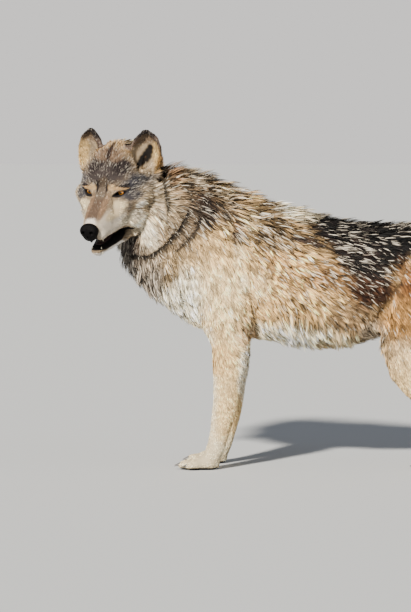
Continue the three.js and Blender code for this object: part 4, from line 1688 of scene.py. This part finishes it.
class Finishes:
    """The procedural materials, each built once."""

    HAIR_SHINE = 0.22  # the specular level of skin and coat
    WET_ROUGHNESS = 0.15
    BUMP_STRENGTH = 0.8
    IRIS = (  # from the pupil's middle outwards, and the colour there
        (0.0, "050404"), (0.155, "060404"), (0.178, "6a3c0c"), (0.25, "c98a2c"), (0.38, "b87018"),
        (0.465, "6e3c10"), (0.515, "0c0807"), (1.0, "120d0c"),
    )

    def __init__(self) -> None:
        """Builds the shared node group."""
        self.grain = self._grain_group()

    @staticmethod
    def _grain_group() -> bpy.types.NodeTree:
        """Builds the group that varies a colour, a height and a roughness over fine grain.

        Returns:
            The node group.
        """
        tree = bpy.data.node_groups.new("Grain", "ShaderNodeTree")
        face = tree.interface
        face.new_socket("Colour", in_out="INPUT", socket_type="NodeSocketColor")
        face.new_socket("Scale", in_out="INPUT", socket_type="NodeSocketFloat").default_value = 400.0
        face.new_socket("Amount", in_out="INPUT", socket_type="NodeSocketFloat").default_value = 0.2
        face.new_socket("Colour", in_out="OUTPUT", socket_type="NodeSocketColor")
        face.new_socket("Height", in_out="OUTPUT", socket_type="NodeSocketFloat")
        face.new_socket("Roughness", in_out="OUTPUT", socket_type="NodeSocketFloat")
        nodes, links = tree.nodes, tree.links
        inputs, outputs = nodes.new("NodeGroupInput"), nodes.new("NodeGroupOutput")
        coords = nodes.new("ShaderNodeTexCoord")
        noise = nodes.new("ShaderNodeTexNoise")
        noise.inputs["Detail"].default_value = 4.0
        links.new(coords.outputs["Object"], noise.inputs["Vector"])
        links.new(inputs.outputs["Scale"], noise.inputs["Scale"])
        spread = spread_over(tree, noise.outputs["Fac"], 0.55, 1.45)
        tone = multiplied(tree, inputs.outputs["Colour"], spread)
        links.new(inputs.outputs["Amount"], tone.inputs["Factor"])
        links.new(tone.outputs["Result"], outputs.inputs["Colour"])
        links.new(noise.outputs["Fac"], outputs.inputs["Height"])
        links.new(spread_over(tree, noise.outputs["Fac"], 0.72, 0.92), outputs.inputs["Roughness"])
        return tree

    def painted(self, name: str, scale: float, amount: float, bump: float) -> bpy.types.Material:
        """Makes a material coloured by the vertices' tint.

        Args:
            name: The material's name.
            scale: Grain per metre.
            amount: How far the grain varies the colour.
            bump: Height of the grain in metres.

        Returns:
            The material.
        """
        material, shader = self._plain(name)
        tree = material.node_tree
        paint = tree.nodes.new("ShaderNodeAttribute")
        paint.attribute_name = "tint"
        grain = self._grained(tree, scale, amount)
        tree.links.new(paint.outputs["Color"], grain.inputs["Colour"])
        tree.links.new(grain.outputs["Colour"], shader.inputs["Base Color"])
        tree.links.new(grain.outputs["Roughness"], shader.inputs["Roughness"])
        shader.inputs["Specular IOR Level"].default_value = self.HAIR_SHINE
        if bump:
            self._bumped(tree, grain, shader, bump)
        return material

    def solid(self, name: str, colour: str, scale: float, amount: float, bump: float, roughness: float,
              coat: float = 0.0, shine: float = 0.5) -> bpy.types.Material:
        """Makes a material of one grained colour.

        Args:
            name: The material's name.
            colour: Its hex colour.
            scale: Grain per metre.
            amount: How far the grain varies the colour.
            bump: Height of the grain in metres.
            roughness: The shader's roughness.
            coat: Weight of the wet layer over it.
            shine: The shader's specular level.

        Returns:
            The material.
        """
        material, shader = self._plain(name)
        tree = material.node_tree
        grain = self._grained(tree, scale, amount)
        grain.inputs["Colour"].default_value = (*srgb(colour), 1)
        tree.links.new(grain.outputs["Colour"], shader.inputs["Base Color"])
        shader.inputs["Roughness"].default_value = roughness
        shader.inputs["Specular IOR Level"].default_value = shine
        shader.inputs["Coat Weight"].default_value = coat
        shader.inputs["Coat Roughness"].default_value = self.WET_ROUGHNESS
        self._bumped(tree, grain, shader, bump)
        return material

    def eye(self) -> bpy.types.Material:
        """Makes the eye: pupil, streaked amber iris, dark edge and a clear wet layer.

        Returns:
            The material.
        """
        material, shader = self._plain("eye_finish")
        nodes, links = material.node_tree.nodes, material.node_tree.links
        polar = nodes.new("ShaderNodeAttribute")
        polar.attribute_name = "polar"
        ramp = nodes.new("ShaderNodeValToRGB")
        elements = ramp.color_ramp.elements
        while len(elements) < len(self.IRIS):
            elements.new(0.5)
        for element, (place, colour) in zip(elements, self.IRIS):
            element.position = place
            element.color = (*srgb(colour), 1)
        links.new(polar.outputs["Fac"], ramp.inputs["Fac"])
        coords = nodes.new("ShaderNodeAttribute")
        coords.attribute_name = "spin"
        streaks = nodes.new("ShaderNodeTexNoise")
        streaks.inputs["Scale"].default_value = 9.0
        links.new(coords.outputs["Vector"], streaks.inputs["Vector"])
        spread = spread_over(material.node_tree, streaks.outputs["Fac"], 0.4, 1.6)
        tone = multiplied(material.node_tree, ramp.outputs["Color"], spread)
        tone.inputs["Factor"].default_value = 0.7
        links.new(tone.outputs["Result"], shader.inputs["Base Color"])
        shader.inputs["Roughness"].default_value = 0.25
        shader.inputs["Coat Weight"].default_value = 1.0
        shader.inputs["Coat Roughness"].default_value = 0.02
        return material

    @staticmethod
    def _plain(name: str) -> tuple[bpy.types.Material, bpy.types.ShaderNode]:
        """Makes a new node material.

        Args:
            name: The material's name.

        Returns:
            The material and its shader.
        """
        material = bpy.data.materials.new(name)
        material.use_nodes = True
        return material, material.node_tree.nodes["Principled BSDF"]

    def _grained(self, tree: bpy.types.NodeTree, scale: float, amount: float) -> bpy.types.ShaderNode:
        """Places the grain group in a material.

        Args:
            tree: The material's nodes.
            scale: Grain per metre.
            amount: How far the grain varies the colour.

        Returns:
            The group's node.
        """
        grain = tree.nodes.new("ShaderNodeGroup")
        grain.node_tree = self.grain
        grain.inputs["Scale"].default_value = scale
        grain.inputs["Amount"].default_value = amount
        return grain

    @staticmethod
    def _bumped(tree: bpy.types.NodeTree, grain: bpy.types.ShaderNode, shader: bpy.types.ShaderNode,
                height: float) -> None:
        """Turns the grain's height into the shader's normal.

        Args:
            tree: The material's nodes.
            grain: The grain's node.
            shader: The material's shader.
            height: Height of the grain in metres.
        """
        bump = tree.nodes.new("ShaderNodeBump")
        bump.inputs["Distance"].default_value = height
        bump.inputs["Strength"].default_value = Finishes.BUMP_STRENGTH
        tree.links.new(grain.outputs["Height"], bump.inputs["Height"])
        tree.links.new(bump.outputs["Normal"], shader.inputs["Normal"])


# ---- Eyes and nose ----
@dataclass
class Eye:
    """An eyeball with a bulging cornea, looking along the eye's axis."""

    space: Space
    side: int  # 1 for the left eye, -1 for the right
    radius: float = EYE_RADIUS
    bulge: float = 1.0  # of the cornea over the ball
    flattened: float = 0.4  # share of the bulge that the whole ball gives up
    cornea: float = 0.42  # its half width, in radians off the axis
    rings: int = 40
    back_rings: int = 10
    sides: int = 48
    polar_range: float = 1.2  # radians off the axis at which the stored angle reaches 1

    def build(self) -> bpy.types.Object:
        """Builds the eyeball.

        Returns:
            Its object, with the angle off the axis and round it stored for the finish.
        """
        axis = unit(np.array(EYE_AXIS) * [self.side, 1, 1])
        across = unit(np.cross(axis, [0, 0, 1]))
        up = np.cross(across, axis)
        front = np.linspace(0.02, 0.9, self.rings - self.back_rings)
        polar = np.concatenate([front, np.linspace(1.0, 3.12, self.back_rings)])
        spin = np.arange(self.sides) * 2 * math.pi / self.sides
        theta, phi = (grid.ravel() for grid in np.meshgrid(polar, spin, indexing="ij"))
        size = self.radius + self.bulge * np.exp(-((theta / self.cornea) ** 2)) - self.bulge * self.flattened
        ring = np.sin(theta)[:, None] * (np.cos(phi)[:, None] * across + np.sin(phi)[:, None] * up)
        points = (np.cos(theta)[:, None] * axis + ring) * size[:, None]
        centre = np.array(EYE_CENTRE) * [self.side, 1, 1]
        back = self.radius - self.flattened * self.bulge
        ends = np.array([axis * (back + self.bulge), -axis * back])
        points = Space.from_head(np.concatenate([points, ends]) + centre)
        corners, sizes = self._faces()
        name = "eyeball_left" if self.side > 0 else "eyeball_right"
        piece = build_mesh(name, self.space.metres(points), sizes, corners)
        angles = piece.data.attributes.new("polar", "FLOAT", "POINT")
        off_axis = np.append(theta, [0.0, math.pi]).astype(np.float32) / self.polar_range
        angles.data.foreach_set("value", off_axis)
        around = piece.data.attributes.new("spin", "FLOAT_VECTOR", "POINT")
        circle = np.stack([np.cos(phi), np.sin(phi), theta * 0.3], 1)
        circle = np.concatenate([circle, np.zeros((2, 3))])
        around.data.foreach_set("vector", circle.astype(np.float32).ravel())
        return piece

    def _faces(self) -> tuple[Array, Array]:
        """Lists the ball's faces: rings of quads closed by triangles at both ends.

        Returns:
            The faces' corners, one after another, and how many each has.
        """
        corners, sizes = [], []
        last = self.rings * self.sides
        for number in range(self.sides):
            after = (number + 1) % self.sides
            corners += [last, number, after]
            sizes.append(3)
            for ring in range(self.rings - 1):
                a, b = ring * self.sides + number, ring * self.sides + after
                corners += [a, a + self.sides, b + self.sides, b]
                sizes.append(4)
            base = (self.rings - 1) * self.sides
            corners += [last + 1, base + after, base + number]
            sizes.append(3)
        return np.array(corners), np.array(sizes)


@dataclass
class NosePad:
    """The bare nose, with nostrils, side slits and the groove below."""

    space: Space
    cell: float = 1.1  # of the lattice that it is shaped on
    room: tuple[tuple[float, float], ...] = ((-32, 32), (-148, -104), (-98, -30))  # the lattice's ends

    def build(self) -> bpy.types.Object:
        """Builds the nose pad.

        Returns:
            Its object.
        """
        axes = [np.arange(low, high, self.cell) for low, high in self.room]
        at = tuple(np.meshgrid(*axes, indexing="ij"))
        mirrored = (np.abs(at[0]), at[1], at[2])
        form = Ball((0, -126, -57), (26, 16, 20)).distance(at)
        form = blend(form, Ball((0, -127.5, -71), (19.5, 14.5, 15.5)).distance(at), 6)
        form = blend(form, Ball((12, -131, -58), (12, 11, 13)).distance(mirrored), 5)
        form = blend(form, Rod((0, -128, -76), (0, -124, -90), (5, 3)).distance(at), 5)
        nostril = blend(Ball((11.5, -143, -59), (5.2, 9, 6.2)).distance(mirrored),
                        Rod((13, -139, -61), (24, -130, -67), (2.6, 1.4)).distance(mirrored), 2)
        form = carve(form, nostril, 2)
        form = carve(form, Rod((0, -144, -62), (0, -131, -94), (1.3, 1.6)).distance(at), 1.5)
        cells, quads = surface(form.astype(np.float32), FAR_OUTSIDE)
        points = np.array([axis[0] for axis in axes]) + cells * self.cell
        quads = facing_out(points, quads)
        places = self.space.metres(Space.from_head(points))
        return build_mesh("nose_pad", places, np.full(len(quads), 4), quads.ravel())


# ---- Studio ----
class Studio:
    """A pale floor, soft lights and the camera."""

    TARGET = (0.0, -106.65, 434.7)  # in the animal's frame
    DISTANCE, ELEVATION, LENS = 9.0, 4.0, 196.0  # metres, degrees and millimetres
    FLOOR_SIZE, FLOOR_DROP = 60, 0.0005  # metres; the drop keeps the soles clear of the floor
    FLOOR_TONE = (0.48, 0.50, 0.52, 1)
    AIR_TONE, AIR_STRENGTH = (0.64, 0.67, 0.73, 1), 0.38
    FAR_FLOOR_TONE = (0.93, 0.905, 0.88, 1)  # the lit floor, as it looks from the camera
    SUNS = (  # name, where it stands, strength, spread in degrees, colour
        ("key", (0.76, -0.36, 0.54), 10.0, 5, (1.0, 0.93, 0.82)),
        ("fill", (0.4, 0.85, 0.35), 0.5, 60, (0.86, 0.92, 1.0)),
    )

    def __init__(self, space: Space) -> None:
        """Finds what the camera looks at."""
        self.target = Vector(space.metres(np.array(self.TARGET)))

    def build(self) -> None:
        """Builds the studio."""
        self._floor()
        self._lights()
        self._camera()

    def _floor(self) -> None:
        """Lays the floor."""
        bpy.ops.mesh.primitive_plane_add(size=self.FLOOR_SIZE, location=(0, 0, -self.FLOOR_DROP))
        floor = bpy.context.object
        floor.name = "floor"
        material = bpy.data.materials.new("floor_finish")
        material.use_nodes = True
        shader = material.node_tree.nodes["Principled BSDF"]
        shader.inputs["Base Color"].default_value = self.FLOOR_TONE
        shader.inputs["Roughness"].default_value = 0.9
        floor.data.materials.append(material)
        floor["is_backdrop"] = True

    def _lights(self) -> None:
        """Hangs a warm key ahead of the wolf's left side and a weak, broad fill behind it."""
        for name, way, strength, spread, colour in self.SUNS:
            data = bpy.data.lights.new(name, "SUN")
            data.energy, data.angle, data.color = strength, math.radians(spread), colour
            lamp = bpy.data.objects.new(name, data)
            lamp.location = Vector(way) * 6
            lamp.rotation_mode = "QUATERNION"
            lamp.rotation_quaternion = (-Vector(way)).to_track_quat("-Z", "Y")
            bpy.context.scene.collection.objects.link(lamp)
            lamp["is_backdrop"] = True
        self._world()

    def _world(self) -> None:
        """Lights the air softly, and shows the far floor's own tone behind the wolf."""
        world = bpy.data.worlds.new("studio")
        world.use_nodes = True
        nodes, links = world.node_tree.nodes, world.node_tree.links
        soft = nodes["Background"]
        soft.inputs["Color"].default_value = self.AIR_TONE
        soft.inputs["Strength"].default_value = self.AIR_STRENGTH
        seen = nodes.new("ShaderNodeBackground")
        seen.inputs["Color"].default_value = self.FAR_FLOOR_TONE
        path, mix = nodes.new("ShaderNodeLightPath"), nodes.new("ShaderNodeMixShader")
        links.new(path.outputs["Is Camera Ray"], mix.inputs["Fac"])
        links.new(soft.outputs["Background"], mix.inputs[1])
        links.new(seen.outputs["Background"], mix.inputs[2])
        links.new(mix.outputs["Shader"], nodes["World Output"].inputs["Surface"])
        bpy.context.scene.world = world

    def _camera(self) -> None:
        """Sets the camera at the wolf's left, a little above its middle."""
        data = bpy.data.cameras.new("camera")
        data.lens = self.LENS
        data.sensor_width = 36.0
        camera = bpy.data.objects.new("camera", data)
        rise = math.radians(self.ELEVATION)
        back = Vector((math.cos(rise), 0, math.sin(rise)))
        camera.location = self.target + back * self.DISTANCE
        camera.rotation_mode = "QUATERNION"
        camera.rotation_quaternion = (-back).to_track_quat("-Z", "Y")
        bpy.context.scene.collection.objects.link(camera)
        bpy.context.scene.camera = camera


# ---- The whole animal ----
def wear(piece: bpy.types.Object, material: bpy.types.Material) -> None:
    """Dresses a piece and hands it to the frame.

    Args:
        piece: The mesh object.
        material: Its finish.
    """
    piece.data.materials.clear()
    piece.data.materials.append(material)
    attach(piece, "root")
    log.info("%s: %d faces", piece.name, len(piece.data.polygons))


def keep_size(stage: str, sizes: dict[str, list[list[float]]]) -> None:
    """Notes the whole size at one stage of the build."""
    sizes[stage] = [[float(value) for value in corner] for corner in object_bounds()]


def dress_carried_nodes(finishes: Finishes) -> None:
    """Gives the claws, canines and tongue of the frame their finishes, the tongue's darkened as painted
    shade.

    Args:
        finishes: The materials' maker.
    """
    worn = {
        "claw": finishes.solid("claw_finish", "2a2320", 900.0, 0.5, 0.0004, 0.4),
        "canine": finishes.solid("tooth_finish", "e6dcc2", 500.0, 0.25, 0.0002, 0.25, 0.5),
        # the tongue is near-black as painted shade inside the mouth
        "tongue": finishes.solid("tongue_in_shade_finish", "2c1518", 1400.0, 0.4, 0.0010, 0.5, 0.1),
    }
    for name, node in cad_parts.items():
        finish = worn.get(name.split("_")[0])
        if finish:
            node.data.materials.clear()
            node.data.materials.append(finish)


def main() -> None:
    """Builds the wolf and its studio."""
    logging.basicConfig(level=logging.INFO, format="%(name)s: %(message)s")
    sizes: dict[str, list[list[float]]] = {}
    keep_size("cad", sizes)
    space, coat, markings, finishes = Space(), Coat(), Markings(), Finishes()

    skin = Skin(space, coat, markings)
    piece = skin.build()
    wear(piece, finishes.painted("skin_finish", 900.0, 0.35, 0.0012))
    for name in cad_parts:
        if name.split("_")[0] in (*skin.parts, "ear", "lower"):
            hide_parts(name)

    fur = finishes.painted("coat_finish", 700.0, 0.25, 0.0)
    for tufts, region in Tufts(space, skin, coat, markings).build():
        wear(tufts, fur)

    eye_finish = finishes.eye()
    for side, name in ((1, "eye_left"), (-1, "eye_right")):
        eyeball = Eye(space, side).build()
        wear(eyeball, eye_finish)
        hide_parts(name)
    nose = NosePad(space).build()
    wear(nose, finishes.solid("nose_finish", "040304", 1500.0, 0.5, 0.0012, 0.55, 0.0, 0.08))
    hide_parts("nose")

    dress_carried_nodes(finishes)
    Studio(space).build()
    keep_size("visual", sizes)


if __name__ == "__main__":
    main()
